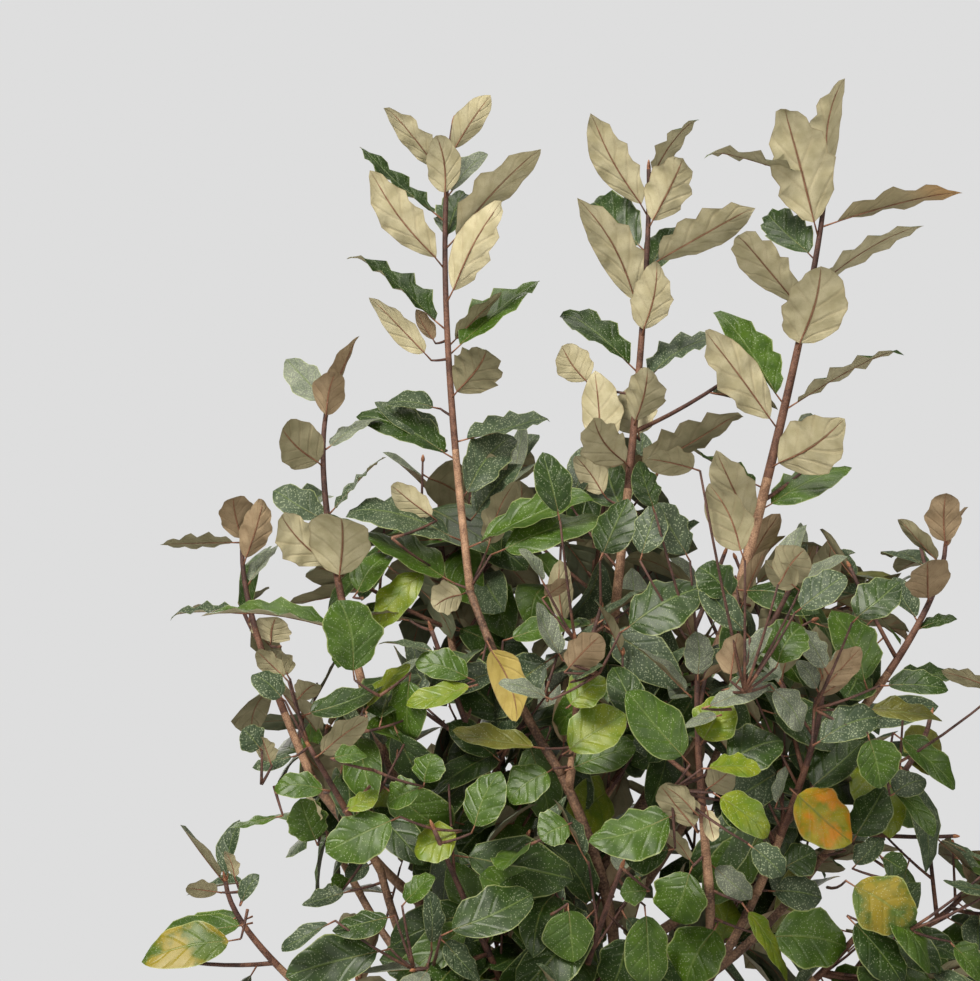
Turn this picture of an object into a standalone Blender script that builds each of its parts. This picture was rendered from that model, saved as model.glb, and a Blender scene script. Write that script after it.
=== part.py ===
"""Potted elaeagnus: a young, open, many-stemmed evergreen shrub in a plain round pot.

Metres, +Z up. The origin is the centre of the pot's flat underside, and the side that is
usually looked at faces -Y. The pot holds one soil plug. The trunk stands on the soil from a
flat cut, boughs leave it and each bears one leafy mass: a stem, its twigs and its leaves,
fused into one solid. Touching pieces are CLEAR apart.
"""

import math
import random

import bmesh
import bpy
from mathutils import Matrix, Vector
from mathutils.bvhtree import BVHTree

CLEAR = 0.0003

# Pot: a turned shell with a rolled rim, a foot and drain holes in the base.
POT_HEIGHT = 0.235
POT_RIM_RADIUS = 0.142
POT_MOUTH_RADIUS = 0.136
POT_FOOT_RADIUS = 0.108
POT_WALL = 0.0035
POT_BASE = 0.004
RIM_DEPTH = 0.022
TURN_STEPS = 32
DRAIN_HOLES = 5
DRAIN_RADIUS = 0.007
DRAIN_RING = 0.072

# Soil: fills the pot up to a little below the rim, with a level middle for the trunk.
SOIL_TOP = 0.214
SOIL_EDGE_DROP = 0.006
SOIL_LEVEL_RADIUS = 0.06

# Trunk: radius above the flare and at the fork, and the flare added at the soil.
TRUNK_TOP = Vector((-0.004, 0.004, 0.455))
TRUNK_BOW = Vector((0.012, 0.0, 0.0))
TRUNK_RADII = (0.0125, 0.0080)
TRUNK_FLARE = 0.010
FLARE_HEIGHT = 0.014
TRUNK_SIDES = 10
TRUNK_STEPS = 12

BOUGH_SIDES = 6
BOUGH_STEPS = 6
STEM_SIDES = 3
STEM_STEPS = 7
SHORT_STEM_STEPS = 5
LONG_STEM = 0.2

# Boughs: the limb that carries it and how far up it, its tip, its bow, and its radii.
BOUGHS = {
    "bough_front": ("trunk", 0.22, (0.002, -0.090, 0.520), (0.075, -0.030, -0.030), 0.0062, 0.0046),
    "bough_tall_left": ("bough_front", 1.0, (-0.062, -0.055, 0.650), (-0.012, -0.010, 0.004), 0.0043, 0.0036),
    "bough_tall_middle": ("trunk", 0.97, (0.042, 0.000, 0.630), (-0.006, 0.002, 0.020), 0.0056, 0.0043),
    "bough_tall_right": ("trunk", 0.80, (0.132, 0.010, 0.650), (0.006, 0.010, -0.035), 0.0062, 0.0050),
    "bough_left": ("trunk", 0.50, (-0.129, -0.055, 0.554), (-0.004, -0.010, -0.055), 0.0058, 0.0040),
    "bough_outer_left": ("trunk", 0.62, (-0.176, -0.010, 0.520), (-0.020, 0.000, -0.030), 0.0052, 0.0038),
    "bough_lower_left": ("trunk", 0.20, (-0.123, -0.090, 0.456), (-0.030, -0.020, -0.040), 0.0052, 0.0036),
    "bough_low_left": ("trunk", 0.12, (-0.180, -0.045, 0.372), (-0.030, -0.010, -0.045), 0.0050, 0.0034),
    "bough_right_front": ("trunk", 0.16, (0.101, -0.125, 0.444), (0.060, -0.010, -0.060), 0.0058, 0.0042),
    "bough_right": ("trunk", 0.32, (0.138, -0.070, 0.440), (0.015, -0.010, -0.045), 0.0052, 0.0040),
    "bough_outer_right": ("trunk", 0.66, (0.216, 0.000, 0.562), (0.030, 0.000, -0.045), 0.0054, 0.0040),
    "bough_far_right": ("trunk", 0.24, (0.222, 0.030, 0.385), (0.030, 0.010, -0.050), 0.0052, 0.0036),
    "bough_middle_right": ("trunk", 0.48, (0.188, -0.020, 0.462), (0.020, 0.000, -0.040), 0.0050, 0.0038),
    "bough_low_right": ("trunk", 0.10, (0.150, -0.085, 0.358), (0.030, -0.010, -0.050), 0.0050, 0.0036),
    "bough_back_left": ("trunk", 0.86, (-0.072, 0.085, 0.585), (-0.010, 0.020, -0.030), 0.0050, 0.0038),
    "bough_back_middle": ("trunk", 0.92, (0.030, 0.105, 0.590), (0.005, 0.030, -0.035), 0.0052, 0.0038),
    "bough_back_right": ("trunk", 0.72, (0.125, 0.110, 0.540), (0.010, 0.020, -0.045), 0.0052, 0.0038),
    "bough_rear_left": ("trunk", 0.44, (-0.145, 0.110, 0.430), (-0.020, 0.015, -0.045), 0.0050, 0.0036),
    "bough_rear_right": ("trunk", 0.30, (0.120, 0.135, 0.385), (0.020, 0.020, -0.045), 0.0050, 0.0036),
    "bough_rear_low": ("trunk", 0.34, (-0.015, 0.140, 0.395), (0.000, 0.025, -0.045), 0.0050, 0.0036),
}

# Masses: the limb that carries it and how far up it, the tip of its stem, the bow of the
# stem, how many twigs the stem bears, how far they spread, and the seed of its rule.
MASSES = {
    "mass_tall_left": ("bough_tall_left", 1.0, (-0.074, -0.020, 0.985), (0.004, 0.0, 0.0), 3, 0.080, 11),
    "mass_tall_middle": ("bough_tall_middle", 1.0, (0.068, 0.010, 0.958), (-0.014, 0.004, 0.0), 3, 0.085, 12),
    "mass_tall_right": ("bough_tall_right", 1.0, (0.196, 0.000, 0.950), (0.000, 0.0, 0.010), 2, 0.070, 13),
    "mass_left": ("bough_left", 1.0, (-0.161, -0.030, 0.790), (-0.012, 0.0, 0.0), 3, 0.075, 14),
    "mass_outer_left": ("bough_outer_left", 1.0, (-0.226, 0.010, 0.688), (-0.004, 0.0, 0.0), 4, 0.070, 15),
    "mass_outer_right": ("bough_outer_right", 1.0, (0.280, 0.000, 0.684), (0.012, 0.0, -0.010), 4, 0.075, 16),
    "mass_middle_right": ("bough_middle_right", 1.0, (0.262, -0.045, 0.56), (0.015, 0, -0.01), 5, 0.075, 39),
    "mass_front": ("bough_front", 0.96, (0.010, -0.130, 0.612), (0.006, 0.0, 0.0), 4, 0.070, 17),
    "mass_right_front": ("bough_right_front", 1.0, (0.092, -0.160, 0.600), (-0.008, 0.0, 0.0), 5, 0.080, 18),
    "mass_right": ("bough_right", 1.0, (0.178, -0.130, 0.585), (0.006, -0.010, 0.0), 5, 0.080, 19),
    "mass_far_right": ("bough_far_right", 1.0, (0.300, 0.010, 0.450), (0.020, 0.0, -0.015), 4, 0.075, 20),
    "mass_low_right": ("bough_low_right", 1.0, (0.226, -0.120, 0.455), (0.020, -0.010, -0.010), 5, 0.080, 21),
    "mass_lower_left": ("bough_lower_left", 1.0, (-0.170, -0.130, 0.540), (-0.006, -0.01, 0.0), 5, 0.075, 22),
    "mass_low_left": ("bough_low_left", 1.0, (-0.232, -0.055, 0.446), (-0.012, 0.0, -0.010), 4, 0.080, 23),
    "mass_inner_left": ("trunk", 0.90, (-0.088, -0.080, 0.620), (0.000, -0.015, -0.030), 5, 0.080, 24),
    "mass_inner_right": ("trunk", 0.99, (0.125, 0.060, 0.680), (0.010, 0.015, -0.030), 5, 0.080, 25),
    "mass_centre_right": ("bough_tall_right", 0.45, (0.165, -0.06, 0.655), (0.01, -0.02, -0.01), 4, 0.07, 26),
    "mass_back_left": ("bough_back_left", 1.0, (-0.085, 0.105, 0.735), (0.000, 0.010, 0.0), 6, 0.085, 27),
    "mass_back_middle": ("bough_back_middle", 1.0, (0.030, 0.120, 0.755), (0.000, 0.015, 0.0), 6, 0.085, 28),
    "mass_back_right": ("bough_back_right", 1.0, (0.190, 0.130, 0.665), (0.010, 0.010, 0.0), 6, 0.085, 29),
    "mass_rear_left": ("bough_rear_left", 1.0, (-0.190, 0.140, 0.560), (-0.015, 0.010, 0.0), 4, 0.085, 30),
    "mass_rear_right": ("bough_rear_right", 1.0, (0.180, 0.185, 0.500), (0.010, 0.015, -0.010), 4, 0.085, 31),
    "mass_rear_low": ("bough_rear_low", 1.0, (-0.020, 0.205, 0.510), (0.000, 0.015, -0.010), 4, 0.085, 32),
    "mass_front_left": ("trunk", 0.30, (-0.085, -0.155, 0.485), (0.010, -0.030, -0.030), 6, 0.080, 33),
    "mass_front_middle": ("trunk", 0.40, (0.040, -0.165, 0.460), (-0.015, -0.020, -0.020), 5, 0.075, 34),
    "mass_foot_front": ("trunk", 0.10, (0.005, -0.175, 0.360), (0.000, -0.020, -0.010), 6, 0.085, 35),
    "mass_foot_left": ("trunk", 0.17, (-0.175, 0.050, 0.350), (-0.010, 0.010, -0.020), 5, 0.080, 36),
    "mass_foot_right": ("trunk", 0.15, (0.150, 0.050, 0.315), (0.010, 0.010, -0.015), 5, 0.080, 37),
    "mass_foot_back": ("trunk", 0.10, (0.010, 0.170, 0.325), (0.000, 0.020, -0.015), 5, 0.085, 38),
}

# Leaves of the shoots that stand free of the crown, from the tip down: how far below the
# tip of the stem each one leaves it, the side it points to (0 is +X and 90 is +Y), its rise
# above level, both in degrees, and its length.
SET_LEAVES = {
    "mass_tall_left": (
        (0.022, 320, 45, 0.055), (0.040, 210, 45, 0.072), (0.052, 40, 45, 0.055), (0.055, 250, 65, 0.052),
        (0.070, 155, 40, 0.092), (0.085, 70, 55, 0.060), (0.090, 325, 38, 0.105), (0.105, 215, 45, 0.092),
        (0.130, 315, 50, 0.092), (0.150, 160, 40, 0.100), (0.168, 35, 40, 0.105), (0.200, 300, 30, 0.070),
        (0.232, 20, 18, 0.078), (0.245, 165, 30, 0.085), (0.275, 40, 45, 0.075), (0.305, 190, 20, 0.090),
        (0.310, 345, 22, 0.100),
    ),
    "mass_tall_middle": (
        (0.008, 325, 50, 0.062), (0.035, 220, 52, 0.090), (0.045, 305, 48, 0.070), (0.062, 140, 42, 0.080),
        (0.073, 330, 28, 0.098), (0.080, 50, 45, 0.060), (0.108, 225, 52, 0.107), (0.125, 285, 55, 0.066),
        (0.150, 150, 43, 0.085), (0.160, 15, 38, 0.078), (0.190, 280, 40, 0.062), (0.220, 240, 30, 0.070),
        (0.225, 335, 27, 0.100), (0.255, 100, 35, 0.080),
    ),
    "mass_tall_right": (
        (0.004, 290, 72, 0.080), (0.045, 235, 60, 0.110), (0.004, 203, 12, 0.100), (0.036, 345, 18, 0.107),
        (0.060, 130, 42, 0.072), (0.083, 330, 32, 0.100), (0.100, 220, 40, 0.092), (0.130, 290, 55, 0.075),
        (0.168, 140, 50, 0.098), (0.172, 335, 30, 0.102), (0.187, 215, 45, 0.098), (0.215, 305, 20, 0.085),
        (0.230, 165, 28, 0.065), (0.246, 20, 28, 0.086), (0.262, 240, 42, 0.080),
    ),
    "mass_left": (
        (0.003, 330, 62, 0.050), (0.008, 140, 40, 0.055), (0.022, 290, 50, 0.048), (0.043, 15, 35, 0.050),
        (0.055, 230, 30, 0.052), (0.090, 340, 45, 0.060), (0.095, 160, 30, 0.050), (0.130, 215, 40, 0.062),
        (0.140, 275, 50, 0.070), (0.173, 185, 10, 0.105),
    ),
    "mass_outer_left": (
        (0.002, 185, 2, 0.060), (0.004, 255, 60, 0.045), (0.020, 300, 55, 0.060), (0.035, 40, 50, 0.045),
        (0.055, 175, 2, 0.062),
    ),
    "mass_outer_right": (
        (0.003, 265, 65, 0.045), (0.004, 40, 55, 0.040), (0.015, 200, 42, 0.048), (0.045, 260, 45, 0.050),
        (0.060, 120, 50, 0.045), (0.066, 350, 20, 0.032), (0.110, 10, 5, 0.080),
    ),
}

# Stems and twigs: a stem that goes on from a bough's tip starts a little thinner than it and
# follows it for a while. Twigs sit on a share of the stem and leave it by some degrees.
STEM_START_SHARE = 0.85
STEM_FORK_RADIUS = 0.0036
STEM_TIP_RADIUS = 0.0016
STEM_OVERLAP = 0.002
STEM_FOLLOW = 0.25
FORK_REACH = 0.12
TWIG_RADII = (0.0017, 0.00135)
TWIG_FIRST = 0.16
TWIG_REACH = 0.62
TWIG_ANGLES = (48, 68)
TWIG_LIFT = 0.12
TWIG_HEADROOM = 0.015
GOLDEN_ANGLE = math.radians(137.5)

# Leaves: full-grown ones stand out, droop and turn outwards; those within YOUNG_REACH of a
# tip are smaller, closer together and more upright.
LEAF_SPACING = 0.017
LEAF_LENGTH = 0.078
LEAF_WIDTH_SHARE = 0.44
LEAF_KEEL_SHARE = 0.032
LEAF_SINK = 0.0005
LEAF_TIP_DROP = 0.002
LEAF_ANGLE = 58
LEAF_DROOP = 0.60
LEAF_OUTWARD = 0.35
LEAF_ROLL = 30
YOUNG_REACH = 0.06
YOUNG_ANGLE = 32
YOUNG_LENGTH_SHARE = 0.68
YOUNG_SPACING_SHARE = 0.70
BARE_STEM_SHARE = 0.12
BARE_TWIG_SHARE = 0.22
SPACE_MARGIN = 0.0010
LOWEST_LEAF = POT_HEIGHT + 0.012


# Bending limbs and the meshes made from them.

def bend(start, tip, bow, steps):
    """Points of a limb from start to tip, whose middle is drawn aside by the bow."""
    handle = (start + tip) / 2 + bow
    points = []
    for i in range(steps + 1):
        t = i / steps
        points.append(start * (1 - t) ** 2 + handle * 2 * t * (1 - t) + tip * t ** 2)
    return points


def along(points, share):
    """The point at a share of a limb's length, and the limb's direction there."""
    lengths = [(b - a).length for a, b in zip(points, points[1:])]
    left = share * sum(lengths)
    for a, b, length in zip(points, points[1:], lengths):
        if left <= length or b is points[-1]:
            return a.lerp(b, min(left / length, 1.0)), (b - a).normalized()
        left -= length
    return points[-1].copy(), (points[-1] - points[-2]).normalized()


def taper(first, last, steps):
    """Radii that shrink evenly from one end of a limb to the other."""
    return [first + (last - first) * i / steps for i in range(steps + 1)]


def new_object(name, mesh, collection):
    shape = bpy.data.objects.new(name, mesh)
    collection.objects.link(shape)
    return shape


def regular_outline(sides, scratch):
    """A flat regular polygon of unit radius, the cross-section of a limb."""
    curve = bpy.data.curves.new("section_%d" % sides, "CURVE")
    spline = curve.splines.new("POLY")
    spline.points.add(sides - 1)
    for i, point in enumerate(spline.points):
        turn = math.tau * i / sides
        point.co = (math.cos(turn), math.sin(turn), 0.0, 1.0)
    spline.use_cyclic_u = True
    return new_object(curve.name, curve, scratch)


def limb(name, points, radii, section, collection):
    """A capped tube along the points, as a welded mesh."""
    curve = bpy.data.curves.new(name, "CURVE")
    curve.dimensions = "3D"
    curve.bevel_mode = "OBJECT"
    curve.bevel_object = section
    curve.use_fill_caps = True
    spline = curve.splines.new("POLY")
    spline.points.add(len(points) - 1)
    for point, place, radius in zip(spline.points, points, radii):
        point.co = (*place, 1.0)
        point.radius = radius
    guide = new_object(name, curve, collection)
    mesh = evaluated_mesh(guide)
    bpy.data.objects.remove(guide)
    bpy.data.curves.remove(curve)
    weld(mesh)
    return new_object(name, mesh, collection)


def evaluated_mesh(shape):
    bpy.context.view_layer.update()
    depsgraph = bpy.context.evaluated_depsgraph_get()
    return bpy.data.meshes.new_from_object(shape.evaluated_get(depsgraph))


def weld(mesh):
    """Join the loose caps to their tube and face everything outwards."""
    bm = bmesh.new()
    bm.from_mesh(mesh)
    bmesh.ops.remove_doubles(bm, verts=bm.verts, dist=0.00001)
    bmesh.ops.recalc_face_normals(bm, faces=bm.faces)
    bm.to_mesh(mesh)
    bm.free()


def apply_boolean(shape, operation, solver, cutter=None, group=None):
    boolean = shape.modifiers.new("join", "BOOLEAN")
    boolean.operation = operation
    boolean.solver = solver
    if group:
        boolean.operand_type = "COLLECTION"
        boolean.collection = group
    else:
        boolean.object = cutter
    joined = evaluated_mesh(shape)
    shape.modifiers.clear()
    old = shape.data
    shape.data = joined
    bpy.data.meshes.remove(old)
    keep_main_body(shape.data)


def keep_main_body(mesh):
    """Drop loose scraps and fill sealed hollows: only the largest closed skin stays."""
    bm = bmesh.new()
    bm.from_mesh(mesh)
    unseen = set(bm.verts)
    skins = []
    while unseen:
        first = unseen.pop()
        skin = {first}
        edge_of_skin = [first]
        while edge_of_skin:
            vert = edge_of_skin.pop()
            for edge in vert.link_edges:
                other = edge.other_vert(vert)
                if other not in skin:
                    skin.add(other)
                    edge_of_skin.append(other)
        unseen -= skin
        skins.append(skin)
    main = max(skins, key=len)
    scraps = [vert for skin in skins if skin is not main for vert in skin]
    bmesh.ops.delete(bm, geom=scraps, context="VERTS")
    bm.to_mesh(mesh)
    bm.free()


def fatten(name, points, radii, section, collection):
    """A limb grown by the clearance all round and past its tip, to cut its neighbours with."""
    reach = points[-1] + (points[-1] - points[-2]).normalized() * CLEAR
    grown = [radius + CLEAR / math.cos(math.pi / TRUNK_SIDES) for radius in radii]
    return limb(name, points[:-1] + [reach], grown, section, collection)


def cut_clear(shape, cutter):
    apply_boolean(shape, "DIFFERENCE", "EXACT", cutter=cutter)


# Finishes, one to each kind of surface.

def finish(name, color, roughness):
    material = bpy.data.materials.new(name)
    material.use_nodes = True
    shader = material.node_tree.nodes["Principled BSDF"]
    shader.inputs["Base Color"].default_value = (*color, 1.0)
    shader.inputs["Roughness"].default_value = roughness
    material.diffuse_color = (*color, 1.0)
    return material


# Pot and soil.

def turned(name, profile, material, collection):
    """A profile of (radius, height) pairs turned about the pot's axis."""
    mesh = bpy.data.meshes.new(name)
    bm = bmesh.new()
    verts = [bm.verts.new((radius, 0.0, height)) for radius, height in profile]
    for a, b in zip(verts, verts[1:]):
        bm.edges.new((a, b))
    bm.to_mesh(mesh)
    bm.free()
    shape = new_object(name, mesh, collection)
    screw = shape.modifiers.new("turn", "SCREW")
    screw.steps = TURN_STEPS
    screw.render_steps = TURN_STEPS
    screw.use_merge_vertices = True
    screw.merge_threshold = 0.00005
    mesh.materials.append(material)
    return shape


def wall_radius(height):
    """The outer radius of the pot's tapering wall."""
    return POT_FOOT_RADIUS + (POT_MOUTH_RADIUS - POT_FOOT_RADIUS) * height / POT_HEIGHT


def make_pot(material, parts, cutters):
    rim_foot = POT_HEIGHT - RIM_DEPTH
    profile = (
        (0.0, POT_BASE),
        (wall_radius(POT_BASE) - POT_WALL, POT_BASE),
        (wall_radius(POT_HEIGHT) - POT_WALL, POT_HEIGHT - 0.002),
        (wall_radius(POT_HEIGHT) - POT_WALL / 2, POT_HEIGHT),
        (POT_RIM_RADIUS - 0.002, POT_HEIGHT),
        (POT_RIM_RADIUS, POT_HEIGHT - 0.002),
        (POT_RIM_RADIUS - 0.001, rim_foot + 0.001),
        (POT_RIM_RADIUS - 0.002, rim_foot),
        (wall_radius(rim_foot), rim_foot - 0.002),
        (wall_radius(0.006), 0.006),
        (POT_FOOT_RADIUS - 0.002, 0.0),
        (0.0, 0.0),
    )
    pot = turned("pot", profile, material, parts)
    ring = bpy.data.collections.new("drain holes")
    cutters.children.link(ring)
    for i in range(DRAIN_HOLES):
        turn = math.tau * (i + 0.5) / DRAIN_HOLES
        place = (DRAIN_RING * math.cos(turn), DRAIN_RING * math.sin(turn), POT_BASE / 2)
        bpy.ops.mesh.primitive_cylinder_add(
            vertices=12, radius=DRAIN_RADIUS, depth=3 * POT_BASE, location=place)
        hole = bpy.context.object
        hole.name = "drain_hole_%d" % (i + 1)
        hole.hide_render = True
        hole.display_type = "WIRE"
        for home in list(hole.users_collection):
            home.objects.unlink(hole)
        ring.objects.link(hole)
    drains = pot.modifiers.new("drains", "BOOLEAN")
    drains.operation = "DIFFERENCE"
    drains.operand_type = "COLLECTION"
    drains.collection = ring
    drains.solver = "EXACT"
    pot.data.shade_smooth()
    pot.data.set_sharp_from_angle(angle=math.radians(40))


def make_soil(material, parts):
    floor = POT_BASE + CLEAR
    edge = SOIL_TOP - SOIL_EDGE_DROP
    gap = POT_WALL + CLEAR
    profile = (
        (0.0, SOIL_TOP),
        (SOIL_LEVEL_RADIUS, SOIL_TOP),
        (wall_radius(edge) - gap, edge),
        (wall_radius(floor) - gap, floor),
        (0.0, floor),
    )
    turned("soil", profile, material, parts)


# Trunk and boughs.

def trunk_points():
    """The trunk's axis, with an upright first step so that its cut is level."""
    foot = Vector((0.0, 0.0, SOIL_TOP + CLEAR))
    points = bend(foot, TRUNK_TOP, TRUNK_BOW, TRUNK_STEPS)
    flare_top = foot + Vector((0.0, 0.0, FLARE_HEIGHT * 0.6))
    return [foot, flare_top] + points[1:]


def trunk_radii(points):
    base, top = TRUNK_RADII
    height = points[-1].z - points[0].z
    radii = []
    for point in points:
        rise = point.z - points[0].z
        flare = TRUNK_FLARE * math.exp(-rise / FLARE_HEIGHT)
        radii.append(base + (top - base) * rise / height + flare)
    return radii


def make_limbs(sections, bark, parts, cutters):
    """The trunk and every bough, each cut clear of the limb that carries it."""
    limbs = {}
    points = trunk_points()
    radii = trunk_radii(points)
    trunk = limb("trunk", points, radii, sections[TRUNK_SIDES], parts)
    grown = fatten("trunk_cutter", points, radii, sections[TRUNK_SIDES], cutters)
    limbs["trunk"] = (points, radii, trunk, grown)
    for name, (carrier, share, tip, bow, first, last) in BOUGHS.items():
        start, _ = along(limbs[carrier][0], share)
        points = bend(start, Vector(tip), Vector(bow), BOUGH_STEPS)
        radii = taper(first, last, BOUGH_STEPS)
        bough = limb(name, points, radii, sections[BOUGH_SIDES], parts)
        grown = fatten(name + "_cutter", points, radii, sections[BOUGH_SIDES], cutters)
        cut_clear(bough, limbs[carrier][3])
        limbs[name] = (points, radii, bough, grown)
    for _, _, shape, _ in limbs.values():
        shape.data.materials.append(bark)
        shape.data.shade_smooth()
    return limbs


# Leafy masses.

def leaf_blade():
    """A leaf of eight faces: the hull of its stalk end, two shoulders, two cheeks and tip.

    It is one long, one wide and one deep; the keel under it is its midrib.
    """
    mesh = bpy.data.meshes.new("leaf_blade")
    bm = bmesh.new()
    for x, y, z in (
            (0.0, 0.0, 0.0), (0.38, 0.5, 1.0), (0.38, -0.5, 1.0),
            (0.76, 0.38, 0.9), (0.76, -0.38, 0.9), (1.0, 0.0, 0.0)):
        bm.verts.new((x, y, z))
    bmesh.ops.convex_hull(bm, input=bm.verts)
    bmesh.ops.recalc_face_normals(bm, faces=bm.faces)
    bm.to_mesh(mesh)
    bm.free()
    return mesh


def leaf_frame(root, heading, roll, length):
    """The matrix that lays the unit blade along its heading, upper side up."""
    up = Vector((0.0, 0.0, 1.0))
    side = up.cross(heading)
    if side.length < 0.05:
        side = Vector((1.0, 0.0, 0.0))
    side = Matrix.Rotation(roll, 3, heading) @ side.normalized()
    top = heading.cross(side)
    width = length * LEAF_WIDTH_SHARE
    keel = length * LEAF_KEEL_SHARE
    turn = Matrix((heading, side, top)).transposed()
    scale = Matrix.Diagonal((length, width, keel))
    frame = (turn @ scale).to_4x4()
    frame.translation = root - heading * LEAF_SINK
    return frame


def compass(side, rise):
    """A direction from the side it points to and its rise above level, in degrees."""
    turn, lift = math.radians(side), math.radians(rise)
    return Vector((math.cos(turn) * math.cos(lift), math.sin(turn) * math.cos(lift), math.sin(lift)))


def outward(axis, turn, spread):
    """A direction that leaves an axis by the angle spread, turned about it."""
    across = axis.orthogonal().normalized()
    across.rotate(Matrix.Rotation(turn, 3, axis))
    return (axis * math.cos(spread) + across * math.sin(spread)).normalized()


class Space:
    """What one mass may not touch, and where its own space ends."""

    def __init__(self, name, stems, solids):
        verts, faces = [], []
        for solid_verts, solid_faces in solids:
            offset = len(verts)
            verts += solid_verts
            faces += [[offset + i for i in face] for face in solid_faces]
        self.tree = BVHTree.FromPolygons(verts, faces)
        self.leaves = []
        self.own = list(stems[name])
        self.others = [points for other, points in stems.items() if other != name]

    def touches(self, verts, faces):
        shape = BVHTree.FromPolygons(verts, faces)
        return any(tree.overlap(shape) for tree in [self.tree] + self.leaves)

    def holds(self, points):
        """True where every point is nearer to this mass's stem than to any other."""
        for point in points:
            near = min((point - mark).length for mark in self.own)
            for marks in self.others:
                if min((point - mark).length for mark in marks) < near + SPACE_MARGIN:
                    return False
        return True


def soup(shape):
    """A mesh's vertices and faces in world space."""
    verts = [shape.matrix_world @ vert.co for vert in shape.data.vertices]
    return verts, [list(face.vertices) for face in shape.data.polygons]


def marks_along(points, count=24):
    return [along(points, i / count)[0] for i in range(count + 1)]


def forking_boughs(carrier, share):
    """The boughs that leave a limb close to the place where a stem does."""
    return [name for name, row in BOUGHS.items()
            if row[0] == carrier and abs(row[1] - share) < FORK_REACH]


def make_stems(limbs, sections, parts):
    """The stem of every mass, cut clear of the limb that it grows from."""
    stems = {}
    for name, (carrier, share, tip, bow, _, _, _) in MASSES.items():
        points, radii, _, grown = limbs[carrier]
        start, heading = along(points, share)
        if share == 1.0:
            start = start - heading * STEM_OVERLAP
            first = radii[-1] * STEM_START_SHARE
            bow = Vector(bow) + heading * (Vector(tip) - start).length * STEM_FOLLOW
        else:
            first = STEM_FORK_RADIUS
        steps = STEM_STEPS if (Vector(tip) - start).length > LONG_STEM else SHORT_STEM_STEPS
        line = bend(start, Vector(tip), Vector(bow), steps)
        stem = limb(name, line, taper(first, STEM_TIP_RADIUS, steps), sections[STEM_SIDES], parts)
        cut_clear(stem, grown)
        for rival in forking_boughs(carrier, share):
            cut_clear(stem, limbs[rival][3])
        stems[name] = (line, stem)
    return stems


def grow_twigs(name, line, count, spread, dice, space, sections, group):
    """Side twigs, by the golden angle about the stem, longest low on it."""
    twigs = []
    turn = dice.uniform(0.0, math.tau)
    for i in range(count):
        share = TWIG_FIRST + TWIG_REACH * (i + dice.uniform(0.2, 0.8)) / count
        start, axis = along(line, share)
        turn += GOLDEN_ANGLE
        heading = outward(axis, turn, math.radians(dice.uniform(*TWIG_ANGLES)))
        length = spread * (1.15 - 0.5 * share) * dice.uniform(0.85, 1.1)
        tip = start + heading * length + Vector((0.0, 0.0, TWIG_LIFT * length))
        points = [start, tip]
        if tip.z < LOWEST_LEAF + TWIG_HEADROOM or not space.holds([start.lerp(tip, 0.6)]):
            continue
        twig = limb("%s_twig_%d" % (name, i), points, TWIG_RADII, sections[STEM_SIDES], group)
        if space.touches(*soup(twig)):
            bpy.data.objects.remove(twig)
            continue
        twigs.append(points)
    for points in twigs:
        space.own += marks_along(points, 6)
    return twigs


def leaf_sites(line, free, dice, on_twig):
    """Root, heading, roll and length of each leaf along a stem or twig, by the rule."""
    length = sum((b - a).length for a, b in zip(line, line[1:]))
    bare = (BARE_TWIG_SHARE if on_twig else BARE_STEM_SHARE) * length
    sites = []
    turn = dice.uniform(0.0, math.tau)
    run = length
    while run > bare:
        young = max(0.0, 1.0 - (length - run) / YOUNG_REACH)
        grown = 1.0 - young
        root, axis = along(line, (run - LEAF_TIP_DROP) / length)
        turn += GOLDEN_ANGLE + math.radians(dice.uniform(-12, 12))
        angle = LEAF_ANGLE * grown + YOUNG_ANGLE * young + dice.uniform(-10, 10)
        heading = outward(axis, turn, math.radians(angle))
        lean = Vector((root.x, root.y, 0.0)).normalized() * LEAF_OUTWARD
        lean.z = -LEAF_DROOP
        heading = (heading + lean * grown).normalized()
        roll = math.radians(dice.uniform(-LEAF_ROLL, LEAF_ROLL))
        size = LEAF_LENGTH * (grown + YOUNG_LENGTH_SHARE * young) * dice.uniform(0.84, 1.12)
        if length - run >= free:
            sites.append((root, heading, roll, size))
        run -= LEAF_SPACING * (grown + YOUNG_SPACING_SHARE * young)
    return sites


def set_sites(name, line, dice):
    """The leaves that SET_LEAVES gives for a shoot's free upper part."""
    length = sum((b - a).length for a, b in zip(line, line[1:]))
    sites = []
    for drop, side, rise, size in SET_LEAVES.get(name, ()):
        root, _ = along(line, 1.0 - max(drop, LEAF_TIP_DROP) / length)
        sites.append((root, compass(side, rise), math.radians(dice.uniform(-12, 12)), size))
    return sites


def place_leaves(name, sites, blade, space, group, own_space_only):
    """Keep each leaf that stays in its space and crosses no limb and no other leaf."""
    faces = [list(face.vertices) for face in blade.polygons]
    for number, (root, heading, roll, size) in enumerate(sites):
        frame = leaf_frame(root, heading, roll, size)
        verts = [frame @ vert.co for vert in blade.vertices]
        probes = verts[1:] + [root + heading * size * 0.5]
        if min(vert.z for vert in verts) < LOWEST_LEAF:
            continue
        if own_space_only and not space.holds(probes):
            continue
        if space.touches(verts, faces):
            continue
        space.leaves.append(BVHTree.FromPolygons(verts, faces))
        leaf = new_object("%s_leaf_%d" % (name, number), blade, group)
        leaf.matrix_world = frame


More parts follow.
